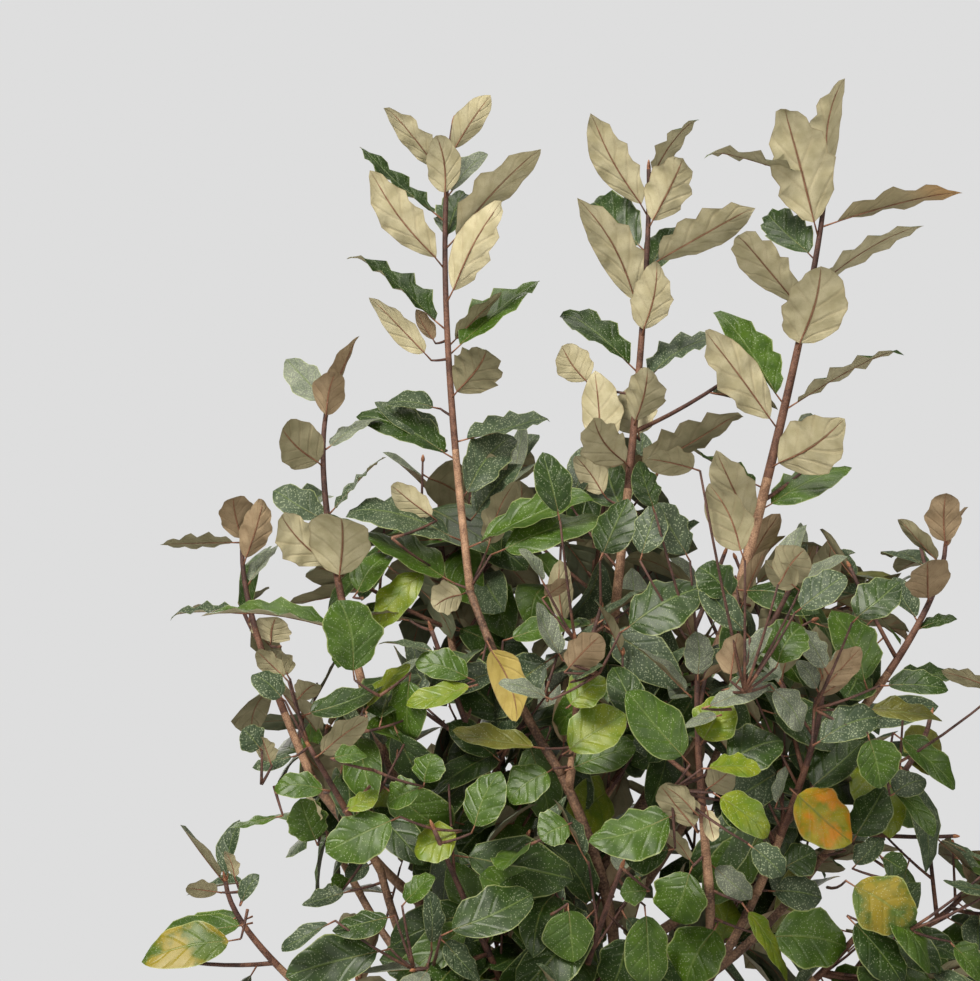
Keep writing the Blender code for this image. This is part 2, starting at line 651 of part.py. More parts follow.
def make_masses(limbs, sections, foliage, parts, cutters):
    """Each mass in turn: twigs and leaves in its own space, fused on to its stem."""
    stems = make_stems(limbs, sections, parts)
    marks = {name: marks_along(line) for name, (line, _) in stems.items()}
    blade = leaf_blade()
    limb_solids = [soup(shape) for _, _, shape, _ in limbs.values()]
    finished = []
    for name, (_, _, _, _, count, spread, seed) in MASSES.items():
        line, stem = stems[name]
        dice = random.Random(seed)
        others = [soup(shape) for other, (_, shape) in stems.items() if other != name]
        space = Space(name, marks, limb_solids + others + finished)
        group = bpy.data.collections.new(name + " leaves")
        cutters.children.link(group)
        set_drop = max((row[0] for row in SET_LEAVES.get(name, ())), default=-1.0)
        place_leaves(name + "_set", set_sites(name, line, dice), blade, space, group, False)
        twigs = grow_twigs(name, line, count, spread, dice, space, sections, group)
        sites = leaf_sites(line, set_drop + LEAF_SPACING, dice, False)
        for points in twigs:
            sites += leaf_sites(points, 0.0, dice, True)
        place_leaves(name, sites, blade, space, group, True)
        bpy.context.view_layer.update()
        apply_boolean(stem, "UNION", "MANIFOLD", group=group)
        for shape in list(group.objects):
            bpy.data.objects.remove(shape)
        cutters.children.unlink(group)
        bpy.data.collections.remove(group)
        stem.data.materials.clear()
        stem.data.materials.append(foliage)
        finished.append(soup(stem))


def clear_scene():
    for shape in list(bpy.data.objects):
        bpy.data.objects.remove(shape)


def build():
    clear_scene()
    parts = bpy.data.collections.new("potted elaeagnus")
    cutters = bpy.data.collections.new("cutters")
    scratch = bpy.data.collections.new("sections")
    for collection in (parts, cutters, scratch):
        bpy.context.scene.collection.children.link(collection)

    bark = finish("bark", (0.155, 0.085, 0.050), 0.75)
    foliage = finish("foliage", (0.075, 0.130, 0.040), 0.50)
    pot_wall = finish("pot wall", (0.045, 0.045, 0.047), 0.45)
    compost = finish("compost", (0.060, 0.038, 0.024), 0.95)

    make_pot(pot_wall, parts, cutters)
    make_soil(compost, parts)
    sections = {sides: regular_outline(sides, scratch)
                for sides in (TRUNK_SIDES, BOUGH_SIDES, STEM_SIDES)}
    limbs = make_limbs(sections, bark, parts, cutters)
    make_masses(limbs, sections, foliage, parts, cutters)
    for _, _, _, grown in limbs.values():
        bpy.data.objects.remove(grown)
    for section in sections.values():
        bpy.data.objects.remove(section)
    bpy.data.collections.remove(scratch)


build()
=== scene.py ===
"""The looks of a potted elaeagnus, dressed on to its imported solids.

Metres, +Z up. The origin is the centre of the pot's underside and the usual view is from -Y.
The sections follow the plant as it is put together: pot, compost, trunk and boughs, shoots,
buds, leaves, and then the studio that it stands in.
"""

import math
import random

import bmesh
import bpy
import numpy as np
from mathutils import Matrix, Vector, geometry, noise
from mathutils.bvhtree import BVHTree

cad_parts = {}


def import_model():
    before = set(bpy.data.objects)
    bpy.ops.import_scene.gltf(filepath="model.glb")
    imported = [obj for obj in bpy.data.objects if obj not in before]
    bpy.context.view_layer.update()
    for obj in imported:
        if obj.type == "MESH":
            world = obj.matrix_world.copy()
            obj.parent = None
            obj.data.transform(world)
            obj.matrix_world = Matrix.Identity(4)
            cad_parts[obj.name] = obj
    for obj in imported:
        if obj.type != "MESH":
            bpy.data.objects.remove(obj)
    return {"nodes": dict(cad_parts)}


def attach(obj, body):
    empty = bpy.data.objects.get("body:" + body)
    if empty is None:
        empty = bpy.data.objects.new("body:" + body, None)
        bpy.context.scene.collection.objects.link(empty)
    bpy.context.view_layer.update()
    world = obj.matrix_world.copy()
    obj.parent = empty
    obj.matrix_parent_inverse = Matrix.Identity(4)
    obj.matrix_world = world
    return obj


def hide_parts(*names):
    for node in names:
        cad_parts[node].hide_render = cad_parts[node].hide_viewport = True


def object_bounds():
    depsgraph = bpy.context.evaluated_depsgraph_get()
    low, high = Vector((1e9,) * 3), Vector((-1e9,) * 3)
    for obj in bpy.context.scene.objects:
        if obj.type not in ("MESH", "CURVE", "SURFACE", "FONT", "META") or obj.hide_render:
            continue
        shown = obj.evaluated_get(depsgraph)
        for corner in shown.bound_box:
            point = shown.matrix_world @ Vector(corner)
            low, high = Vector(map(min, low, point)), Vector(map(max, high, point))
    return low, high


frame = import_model()
cad_low, cad_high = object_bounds()


# Nursery pot
# A dark plastic growing pot, moulded in one piece: a tapering wall, a rolled rim, a stacking
# ring and five drain holes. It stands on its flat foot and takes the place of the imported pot.

POT_HEIGHT = 0.235
POT_MOUTH_RADIUS = 0.136
POT_RIM_RADIUS = 0.142
POT_FOOT_RADIUS = 0.108
POT_WALL = 0.0035
POT_BASE = 0.004
RIM_DEPTH = 0.022
RIM_STEP = 0.0004
LIP = 0.001
STACK_RING_HEIGHT = 0.148
STACK_RING_BAND = 0.003
STACK_RING_PROUD = 0.0012
FOOT_CHAMFER_RISE = 0.006
FOOT_CHAMFER_DEPTH = 0.002
POT_ROUNDING = 0.0006
POT_STEPS = 96
ROUNDED_CORNER = math.radians(35)
SHARP_CORNER = math.radians(50)
DRAIN_HOLES = 5
DRAIN_RING = 0.072
DRAIN_RADIUS = 0.007


def mesh_of(name, bm):
    """The shape of a bmesh as a mesh, with which the bmesh is done."""
    mesh = bpy.data.meshes.new(name)
    bm.to_mesh(mesh)
    bm.free()
    return mesh


def link(name, mesh):
    """A finished mesh as an object at the origin."""
    piece = bpy.data.objects.new(name, mesh)
    bpy.context.scene.collection.objects.link(piece)
    return piece


def wall_radius(height):
    """The pot's outer radius at a height."""
    return POT_FOOT_RADIUS + (POT_MOUTH_RADIUS - POT_FOOT_RADIUS) * height / POT_HEIGHT


def turned(name, profile, steps, rounding=0.0):
    """A profile of (radius, height) pairs spun about the pot's axis, its corners rounded."""
    bm = bmesh.new()
    verts = [bm.verts.new((radius, 0.0, height)) for radius, height in profile]
    edges = [bm.edges.new(pair) for pair in zip(verts, verts[1:])]
    bmesh.ops.spin(
        bm, geom=verts + edges, axis=(0, 0, 1), cent=(0, 0, 0), angle=math.tau,
        steps=steps, use_merge=True)
    bmesh.ops.remove_doubles(bm, verts=bm.verts, dist=0.00001)
    bmesh.ops.recalc_face_normals(bm, faces=bm.faces)
    if rounding:
        corners = [edge for edge in bm.edges if edge.calc_face_angle(0.0) > ROUNDED_CORNER]
        bmesh.ops.bevel(
            bm, geom=corners, offset=rounding, segments=3, profile=0.5,
            affect="EDGES", material=-1)
    mesh = mesh_of(name, bm)
    mesh.shade_smooth()
    mesh.set_sharp_from_angle(angle=SHARP_CORNER)
    return link(name, mesh)


rim_foot = POT_HEIGHT - RIM_DEPTH
ring_top = STACK_RING_HEIGHT + STACK_RING_BAND
ring_radius = wall_radius(STACK_RING_HEIGHT) + STACK_RING_PROUD
pot = turned("nursery_pot", (
    (0.0, POT_BASE),
    (wall_radius(POT_BASE) - POT_WALL, POT_BASE),
    (wall_radius(POT_HEIGHT) - POT_WALL, POT_HEIGHT - LIP),
    (wall_radius(POT_HEIGHT) - POT_WALL / 2, POT_HEIGHT),
    (POT_RIM_RADIUS - LIP, POT_HEIGHT),
    (POT_RIM_RADIUS, POT_HEIGHT - 2 * LIP),
    (POT_RIM_RADIUS - LIP, rim_foot),
    (wall_radius(rim_foot) + RIM_STEP, rim_foot - LIP),
    (wall_radius(ring_top + LIP), ring_top + LIP),
    (ring_radius, ring_top),
    (ring_radius, STACK_RING_HEIGHT),
    (wall_radius(STACK_RING_HEIGHT - LIP), STACK_RING_HEIGHT - LIP),
    (wall_radius(FOOT_CHAMFER_RISE), FOOT_CHAMFER_RISE),
    (POT_FOOT_RADIUS - FOOT_CHAMFER_DEPTH, 0.0),
    (0.0, 0.0),
), POT_STEPS, POT_ROUNDING)
for i in range(DRAIN_HOLES):
    turn = math.tau * (i + 0.5) / DRAIN_HOLES
    bm = bmesh.new()
    bmesh.ops.create_cone(
        bm, cap_ends=True, segments=20, radius1=DRAIN_RADIUS, radius2=DRAIN_RADIUS,
        depth=3 * POT_BASE,
        matrix=Matrix.Translation((DRAIN_RING * math.cos(turn), DRAIN_RING * math.sin(turn), 0.0)))
    cutter = link("drill", mesh_of("drill", bm))
    hole = pot.modifiers.new("hole", "BOOLEAN")
    hole.operation = "DIFFERENCE"
    hole.object = cutter
    bpy.context.view_layer.update()
    cut = bpy.data.meshes.new_from_object(
        pot.evaluated_get(bpy.context.evaluated_depsgraph_get()))
    pot.modifiers.clear()
    pot.data = cut
    bpy.data.objects.remove(cutter)
pot.data.name = "nursery_pot"


def feed(tree, node, values):
    """Sets a node's inputs to the values, and links those whose value is a socket."""
    for key, value in values.items():
        if isinstance(value, bpy.types.NodeSocket):
            tree.links.new(value, node.inputs[key])
        else:
            node.inputs[key].default_value = value


def node_maker(tree):
    """A function that adds a node to the tree, with its settings and inputs."""

    def add(kind, values=None, **settings):
        node = tree.nodes.new(kind)
        for key, value in settings.items():
            setattr(node, key, value)
        feed(tree, node, values or {})
        return node

    return add


def finish(name, roughness):
    """A new material, its tree, its Principled shader and a maker of further nodes."""
    material = bpy.data.materials.new(name)
    material.use_nodes = True
    tree = material.node_tree
    shader = tree.nodes["Principled BSDF"]
    shader.inputs["Roughness"].default_value = roughness
    return material, tree, shader, node_maker(tree)


def new_group(name, inputs, outputs):
    """A shader node group, the sockets it is given, its result node and a maker of nodes."""
    group = bpy.data.node_groups.new(name, "ShaderNodeTree")
    for label, kind, value in inputs:
        socket = group.interface.new_socket(label, in_out="INPUT", socket_type="NodeSocket" + kind)
        socket.default_value = value
    for label, kind in outputs:
        group.interface.new_socket(label, in_out="OUTPUT", socket_type="NodeSocket" + kind)
    entry = group.nodes.new("NodeGroupInput")
    leave = group.nodes.new("NodeGroupOutput")
    return group, entry.outputs, leave, node_maker(group)


def object_place(add):
    """The place of each point of the surface in the object's own frame."""
    return add("ShaderNodeTexCoord").outputs["Object"]


def ranged(add, value, low, high, at_low=0.0, at_high=1.0):
    """The value, carried from the range low to high over to at_low to at_high."""
    return add("ShaderNodeMapRange", {
        "Value": value, "From Min": low, "From Max": high, "To Min": at_low,
        "To Max": at_high}).outputs["Result"]


def reckon(add, operation, *values):
    """The result of a sum on sockets and plain numbers."""
    return add("ShaderNodeMath", dict(enumerate(values)), operation=operation).outputs[0]


def mix(add, factor, under, over):
    """The colour over, laid on the colour under by the factor."""
    return add("ShaderNodeMix", {"Factor": factor, "A": under, "B": over},
               data_type="RGBA").outputs["Result"]


def relief(add, height, strength, distance, **settings):
    """The normal of a surface that rises with the height, by the distance at most."""
    return add("ShaderNodeBump", {"Height": height, "Strength": strength, "Distance": distance},
               **settings).outputs["Normal"]


# Scuffs: where the plastic is worn and dusty, and the fine grain all over it.
scuffed, given, result, add = new_group(
    "scuffs",
    (("Scale", "Float", 60.0), ("Amount", "Float", 0.5)),
    (("Mask", "Float"), ("Height", "Float")))
place = object_place(add)
broad = add("ShaderNodeTexNoise", {"Vector": place, "Scale": given["Scale"], "Detail": 6.0,
                                   "Roughness": 0.65})
fine = add("ShaderNodeTexNoise", {"Vector": place, "Scale": 900.0, "Detail": 2.0})
worn = ranged(add, broad.outputs["Fac"], 0.48, 0.72, 0.0, given["Amount"])
feed(scuffed, result, {"Mask": worn, "Height": fine.outputs["Fac"]})

plastic, tree, shader, add = finish("pot plastic", 0.46)
scuffs = add("ShaderNodeGroup", {"Scale": 26.0, "Amount": 0.55}, node_tree=scuffed)
height = add("ShaderNodeSeparateXYZ", {"Vector": object_place(add)}).outputs["Z"]
low = ranged(add, height, 0.0, 0.12, 1.0, 0.25)
dust = reckon(add, "MULTIPLY", scuffs.outputs["Mask"], low)
colour = mix(add, dust, (0.021, 0.021, 0.023, 1.0), (0.120, 0.100, 0.080, 1.0))
sheen = ranged(add, scuffs.outputs["Mask"], 0.0, 1.0, 0.40, 0.72)
bump = relief(add, scuffs.outputs["Height"], 0.12, 0.0004)
feed(tree, shader, {"Base Color": colour, "Roughness": sheen, "Normal": bump})
pot.data.materials.clear()
pot.data.materials.append(plastic)
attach(pot, "root")
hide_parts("pot")


# Compost
# Coarse damp bark compost that fills the pot to a little below its rim, uneven on top, with
# loose chips of bark lying on it. The whole root ball is one plug.

SOIL_TOP = 0.214
SOIL_EDGE_DROP = 0.006
SOIL_GAP = 0.0003
SOIL_SINK = 0.0015
SOIL_RINGS = 30
SOIL_STEPS = 120
CRUMB_RELIEF = 0.0030
CRUMB_SCALE = 55.0
CHIPS = 420
CHIP_SIZES = (0.0012, 0.0042)
CHIP_MARGIN = 0.008

soil_edge = wall_radius(SOIL_TOP - SOIL_EDGE_DROP) - POT_WALL - SOIL_GAP
soil_profile = [(soil_edge * i / SOIL_RINGS, SOIL_TOP) for i in range(SOIL_RINGS + 1)]
soil_profile += [
    (soil_edge, SOIL_TOP - SOIL_EDGE_DROP),
    (wall_radius(POT_BASE) - POT_WALL - SOIL_GAP, POT_BASE + SOIL_GAP),
    (0.0, POT_BASE + SOIL_GAP)]
compost = turned("compost", soil_profile, SOIL_STEPS)


def soil_height(x, y):
    """The compost's uneven surface, which sinks a little towards the wall."""
    reach = math.hypot(x, y) / soil_edge
    lumps = noise.fractal(Vector((x, y, 0.0)) * CRUMB_SCALE, 0.8, 2.2, 4)
    return SOIL_TOP - SOIL_EDGE_DROP * reach ** 6 + CRUMB_RELIEF * lumps - SOIL_SINK


for vert in compost.data.vertices:
    if vert.co.z > SOIL_TOP - SOIL_EDGE_DROP / 2:
        vert.co.z = soil_height(vert.co.x, vert.co.y)


def two_tones(add, factor, low, dark, high, pale):
    """The colour of a ramp that is dark up to low and pale from high on."""
    ramp = add("ShaderNodeValToRGB", {"Fac": factor})
    for element, position, tone in zip(ramp.color_ramp.elements, (low, high), (dark, pale)):
        element.position = position
        element.color = (*tone, 1.0)
    return ramp.outputs["Color"]


soil_finish, tree, shader, add = finish("damp compost", 0.92)
place = object_place(add)
lumps = add("ShaderNodeTexNoise", {"Vector": place, "Scale": 210.0, "Detail": 8.0,
                                   "Roughness": 0.7}).outputs["Fac"]
crumbs = add("ShaderNodeTexVoronoi", {"Vector": place, "Scale": 330.0}).outputs["Distance"]
colour = two_tones(add, lumps, 0.32, (0.012, 0.008, 0.005), 0.72, (0.095, 0.058, 0.034))
heap = reckon(add, "SUBTRACT", lumps, crumbs)
feed(tree, shader, {"Base Color": colour, "Normal": relief(add, heap, 0.8, 0.002)})
compost.data.materials.append(soil_finish)
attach(compost, "root")
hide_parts("soil")

dice = random.Random(5)
bm = bmesh.new()
for _ in range(CHIPS):
    turn = dice.uniform(0.0, math.tau)
    reach = (soil_edge - CHIP_MARGIN) * math.sqrt(dice.uniform(0.03, 1.0))
    x, y = reach * math.cos(turn), reach * math.sin(turn)
    size = dice.uniform(*CHIP_SIZES)
    shape = Matrix.LocRotScale(
        Vector((x, y, soil_height(x, y) + size * 0.25)),
        Matrix.Rotation(dice.uniform(0.0, math.tau), 3, "Z")
        @ Matrix.Rotation(dice.uniform(-0.5, 0.5), 3, "X"),
        Vector((size * dice.uniform(1.2, 2.6), size, size * dice.uniform(0.35, 0.8))))
    chip = bmesh.ops.create_icosphere(bm, subdivisions=1, radius=1.0, matrix=shape)["verts"]
    for vert in chip:
        vert.co += Vector([dice.uniform(-0.22, 0.22) * size for _ in range(3)])
mesh = mesh_of("bark_chips", bm)
chips = link("bark_chips", mesh)
chip_finish, tree, shader, add = finish("bark chip", 0.85)
grain = add("ShaderNodeTexNoise", {"Vector": object_place(add), "Scale": 95.0,
                                   "Detail": 5.0}).outputs["Fac"]
colour = two_tones(add, grain, 0.35, (0.040, 0.024, 0.015), 0.68, (0.185, 0.110, 0.062))
feed(tree, shader, {"Base Color": colour, "Normal": relief(add, grain, 0.6, 0.001)})
mesh.materials.append(chip_finish)
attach(chips, "root")


# Trunk and boughs
# One woody stem that flares where it leaves the compost, and twenty boughs that leave it or
# each other. The bark is thin and brown, finely cracked, with a ring at every old leaf scar.

TRUNK_FOOT = Vector((0.0, 0.0, 0.2143))
TRUNK_TOP = Vector((-0.004, 0.004, 0.455))
TRUNK_BOW = Vector((0.012, 0.0, 0.0))
TRUNK_RADII = (0.0125, 0.0080)
TRUNK_FLARE = 0.010
FLARE_HEIGHT = 0.014
TRUNK_STEPS = 12
TRUNK_SIDES = 28
BOUGH_STEPS = 6
BOUGH_SIDES = 12
BOUGH_GIRTH = 0.76
SMOOTH_STEPS = 40
BARK_PITCH = 0.0045
TRUNK_PITCH = BARK_PITCH * 0.6
BARK_RELIEF = 0.085
CRACKS_ROUND = 2.1
CRACKS_ALONG = 42.0
SCAR_PITCH = 0.031
SCAR_WIDTH = 0.0016
SCAR_RELIEF = 0.10

# Boughs: the limb that carries it and how far up it, its tip, its bow, and its radii.
BOUGHS = {
    "bough_front": ("trunk", 0.22, (0.002, -0.09, 0.52), (0.075, -0.03, -0.03), 0.0062, 0.0046),
    "bough_tall_left": ("bough_front", 1.0, (-0.062, -0.055, 0.65), (-0.012, -0.01, 0.004), 0.0043, 0.0036),
    "bough_tall_middle": ("trunk", 0.97, (0.042, 0.0, 0.63), (-0.006, 0.002, 0.02), 0.0056, 0.0043),
    "bough_tall_right": ("trunk", 0.8, (0.132, 0.01, 0.65), (0.006, 0.01, -0.035), 0.0062, 0.005),
    "bough_left": ("trunk", 0.5, (-0.129, -0.055, 0.554), (-0.004, -0.01, -0.055), 0.0058, 0.004),
    "bough_outer_left": ("trunk", 0.62, (-0.176, -0.01, 0.52), (-0.02, 0.0, -0.03), 0.0052, 0.0038),
    "bough_lower_left": ("trunk", 0.2, (-0.123, -0.09, 0.456), (-0.03, -0.02, -0.04), 0.0052, 0.0036),
    "bough_low_left": ("trunk", 0.12, (-0.18, -0.045, 0.372), (-0.03, -0.01, -0.045), 0.005, 0.0034),
    "bough_right_front": ("trunk", 0.16, (0.101, -0.125, 0.444), (0.06, -0.01, -0.06), 0.0058, 0.0042),
    "bough_right": ("trunk", 0.32, (0.138, -0.07, 0.44), (0.015, -0.01, -0.045), 0.0052, 0.004),
    "bough_outer_right": ("trunk", 0.66, (0.216, 0.0, 0.562), (0.03, 0.0, -0.045), 0.0054, 0.004),
    "bough_far_right": ("trunk", 0.24, (0.222, 0.03, 0.385), (0.03, 0.01, -0.05), 0.0052, 0.0036),
    "bough_middle_right": ("trunk", 0.48, (0.188, -0.02, 0.462), (0.02, 0.0, -0.04), 0.005, 0.0038),
    "bough_low_right": ("trunk", 0.1, (0.15, -0.085, 0.358), (0.03, -0.01, -0.05), 0.005, 0.0036),
    "bough_back_left": ("trunk", 0.86, (-0.072, 0.085, 0.585), (-0.01, 0.02, -0.03), 0.005, 0.0038),
    "bough_back_middle": ("trunk", 0.92, (0.03, 0.105, 0.59), (0.005, 0.03, -0.035), 0.0052, 0.0038),
    "bough_back_right": ("trunk", 0.72, (0.125, 0.11, 0.54), (0.01, 0.02, -0.045), 0.0052, 0.0038),
    "bough_rear_left": ("trunk", 0.44, (-0.145, 0.11, 0.43), (-0.02, 0.015, -0.045), 0.005, 0.0036),
    "bough_rear_right": ("trunk", 0.3, (0.12, 0.135, 0.385), (0.02, 0.02, -0.045), 0.005, 0.0036),
    "bough_rear_low": ("trunk", 0.34, (-0.015, 0.14, 0.395), (0.0, 0.025, -0.045), 0.005, 0.0036),
}


def bend(start, tip, bow, steps):
    """Points of a limb from start to tip, whose middle is drawn aside by the bow."""
    handle = (start + tip) / 2 + bow
    points = []
    for i in range(steps + 1):
        t = i / steps
        points.append(start * (1 - t) ** 2 + handle * 2 * t * (1 - t) + tip * t ** 2)
    return points


def run_of(points):
    """The length of a limb."""
    return sum((b - a).length for a, b in zip(points, points[1:]))


def along(points, share):
    """The point at a share of a limb's length, and the limb's direction there."""
    left = share * run_of(points)
    for a, b in zip(points, points[1:]):
        length = (b - a).length
        if left <= length or b is points[-1]:
            return a.lerp(b, min(left / length, 1.0)), (b - a).normalized()
        left -= length
    return points[-1].copy(), (points[-1] - points[-2]).normalized()


def stations(points, radii):
    """For each point, the matrix that lays a unit circle across the limb at its radius."""
    ways = [(b - a).normalized() for a, b in zip(points, points[1:])]
    ways.append(ways[-1])
    turn = ways[0].to_track_quat("Z", "Y")
    laid = []
    for i, (point, radius) in enumerate(zip(points, radii)):
        way = (ways[max(i - 1, 0)] + ways[i]).normalized()
        turn = (turn @ Vector((0.0, 0.0, 1.0))).rotation_difference(way) @ turn
        laid.append(Matrix.LocRotScale(point, turn, Vector((radius, radius, radius))))
    return laid


def grow_tube(bm, points, radii, sides, slots=None):
    """A capped tube along the points, drawn out of a circle ring by ring."""
    places = stations(points, radii)
    made = bmesh.ops.create_circle(bm, cap_ends=True, segments=sides, radius=1.0, matrix=places[0])
    rings = [made["verts"]]
    edges = list({edge for vert in rings[0] for edge in vert.link_edges})
    for i in range(1, len(places)):
        grown = bmesh.ops.extrude_edge_only(bm, edges=edges)["geom"]
        ring = [part for part in grown if isinstance(part, bmesh.types.BMVert)]
        inside = set(ring)
        edges = [part for part in grown if isinstance(part, bmesh.types.BMEdge)
                 and part.verts[0] in inside and part.verts[1] in inside]
        if slots:
            for part in grown:
                if isinstance(part, bmesh.types.BMFace):
                    part.material_index = slots[i]
        bmesh.ops.transform(bm, matrix=places[i] @ places[i - 1].inverted(), verts=ring)
        rings.append(ring)
    bmesh.ops.contextual_create(bm, geom=edges)
    return rings


def refined(points, radii, pitch):
    """The same limb with a point every pitch, and its radii in step."""
    steps = max(2, round(run_of(points) / pitch))
    fine_points, fine_radii = [], []
    for i in range(steps + 1):
        share = i / steps
        fine_points.append(along(points, share)[0])
        at = share * (len(radii) - 1)
        low_end = min(int(at), len(radii) - 2)
        part = at - low_end
        fine_radii.append(radii[low_end] * (1 - part) + radii[low_end + 1] * part)
    return fine_points, fine_radii


def bark_relief(rings, points, pitch, seed):
    """Cracks that run along the limb, and a ring at every old leaf scar."""
    for i, ring in enumerate(rings):
        run = i * pitch
        scar = math.exp(-((run / SCAR_PITCH % 1.0 - 0.5) * SCAR_PITCH / SCAR_WIDTH) ** 2)
        for vert in ring:
            out = vert.co - points[i]
            way = out.normalized()
            spot = Vector((way.x * CRACKS_ROUND, way.y * CRACKS_ROUND,
                           run * CRACKS_ALONG + seed * 7.3))
            crack = noise.fractal(spot, 0.7, 2.1, 4)
            vert.co = points[i] + out * (1.0 + BARK_RELIEF * crack + SCAR_RELIEF * scar)


def trunk_axis():
    """The trunk's axis, with one more point where the flare ends."""
    points = bend(TRUNK_FOOT, TRUNK_TOP, TRUNK_BOW, TRUNK_STEPS)
    return [TRUNK_FOOT, TRUNK_FOOT + Vector((0.0, 0.0, FLARE_HEIGHT * 0.6))] + points[1:]


limbs = {"trunk": (trunk_axis(), TRUNK_RADII)}
for name, (carrier, share, tip, bow, first, last) in BOUGHS.items():
    start, _ = along(limbs[carrier][0], share)
    limbs[name] = (bend(start, Vector(tip), Vector(bow), BOUGH_STEPS), (first, last))

trunk_bm = bmesh.new()
points, _ = refined(limbs["trunk"][0], TRUNK_RADII, TRUNK_PITCH)
tall = points[-1].z - points[0].z
radii = []
for point in points:
    rise = point.z - points[0].z
    flare = TRUNK_FLARE * math.exp(-rise / FLARE_HEIGHT)
    radii.append(TRUNK_RADII[0] + (TRUNK_RADII[1] - TRUNK_RADII[0]) * rise / tall + flare)
bark_relief(grow_tube(trunk_bm, points, radii, TRUNK_SIDES), points, TRUNK_PITCH, 1)

bough_bm = bmesh.new()
for seed, name in enumerate(BOUGHS):
    axis, ends = limbs[name]
    smooth = bend(axis[0], axis[-1], Vector(BOUGHS[name][3]), SMOOTH_STEPS)
    points, radii = refined(smooth, [radius * BOUGH_GIRTH for radius in ends], BARK_PITCH)
    bark_relief(grow_tube(bough_bm, points, radii, BOUGH_SIDES), points, BARK_PITCH, seed + 2)

# Bark colours vary in streaks; cracks are dark and raised scales are pale.
bark_grain, given, result, add = new_group(
    "bark grain",
    (("Dark", "Color", (0.03, 0.015, 0.01, 1.0)), ("Pale", "Color", (0.25, 0.16, 0.10, 1.0)),
     ("Patches", "Float", 60.0), ("Scales", "Float", 700.0)),
    (("Color", "Color"), ("Roughness", "Float"), ("Height", "Float")))
place = object_place(add)
patches = add("ShaderNodeTexNoise", {"Vector": place, "Scale": given["Patches"], "Detail": 5.0,
                                     "Roughness": 0.6})
scales = add("ShaderNodeTexVoronoi", {"Vector": place, "Scale": given["Scales"]})
flecks = ranged(add, scales.outputs["Distance"], 0.15, 0.75, 0.16, -0.10)
height = reckon(add, "ADD", patches.outputs["Fac"], flecks)
colour = mix(add, ranged(add, height, 0.34, 0.74), given["Dark"], given["Pale"])
rough = ranged(add, height, 0.0, 1.0, 0.86, 0.58)
feed(bark_grain, result, {"Color": colour, "Roughness": rough, "Height": height})


def bark(name, dark, pale, patch_scale, flake_scale, depth):
    """One kind of bark: its dark and pale colours and how fine its patches and scales are."""
    material, tree, shader, add = finish(name, 0.75)
    grain = add("ShaderNodeGroup", {
        "Dark": (*dark, 1.0), "Pale": (*pale, 1.0), "Patches": patch_scale,
        "Scales": flake_scale}, node_tree=bark_grain)
    feed(tree, shader, {
        "Base Color": grain.outputs["Color"], "Roughness": grain.outputs["Roughness"],
        "Normal": relief(add, grain.outputs["Height"], 0.7, depth)})
    return material


# Painted shade: the trunk's and boughs' bark colours are darkened below the bark's own brown, to stand for
# the shade inside the crown.
shaded_old_bark = bark("shaded old bark", (0.018, 0.010, 0.007), (0.100, 0.058, 0.036), 48.0, 420.0, 0.0012)
bough_bark = bark("shaded bough bark", (0.058, 0.028, 0.017), (0.250, 0.140, 0.084), 70.0, 650.0, 0.0007)
for name, bm, material, nodes in (
        ("trunk_bark", trunk_bm, shaded_old_bark, ["trunk"]),
        ("bough_bark", bough_bm, bough_bark, list(BOUGHS))):
    bmesh.ops.recalc_face_normals(bm, faces=bm.faces)
    mesh = mesh_of(name, bm)
    mesh.shade_smooth()
    mesh.materials.append(material)
    wood = link(name, mesh)
    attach(wood, "root")
    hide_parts(*nodes)


# Shoots and twigs
# Each bough goes on as a leafy shoot with side twigs, and these carry finer twigs. Their bark
# is tan where it is two years old and turns russet and then dark plum towards the growing tip.

GOLDEN_ANGLE = math.radians(137.5)
LEAF_FLOOR = POT_HEIGHT + 0.012
STEM_STEPS = 7
SHORT_STEM_STEPS = 5
LONG_STEM = 0.2
STEM_START_SHARE = 0.85
STEM_FORK_RADIUS = 0.0036
STEM_TIP_RADIUS = 0.0016
STEM_OVERLAP = 0.002
STEM_FOLLOW = 0.25
STEM_PITCH = 0.008
STEM_SIDES = 8
TAN_SHARE = 0.30
RUSSET_SHARE = 0.62
TWIG_RADII = (0.0017, 0.00135)
TWIG_FIRST = 0.16
TWIG_REACH = 0.62
TWIG_SLIP = (0.2, 0.8)
TWIG_ANGLES = (48, 68)
TWIG_SPREAD = 1.15
TWIG_TAPER = 0.5
TWIG_LENGTHS = (0.85, 1.1)
TWIG_LIFT = 0.12
TWIG_HEADROOM = 0.015
SKIN_SLACK = 0.0025
FINE_TWIG_RADII = (0.0012, 0.0008)

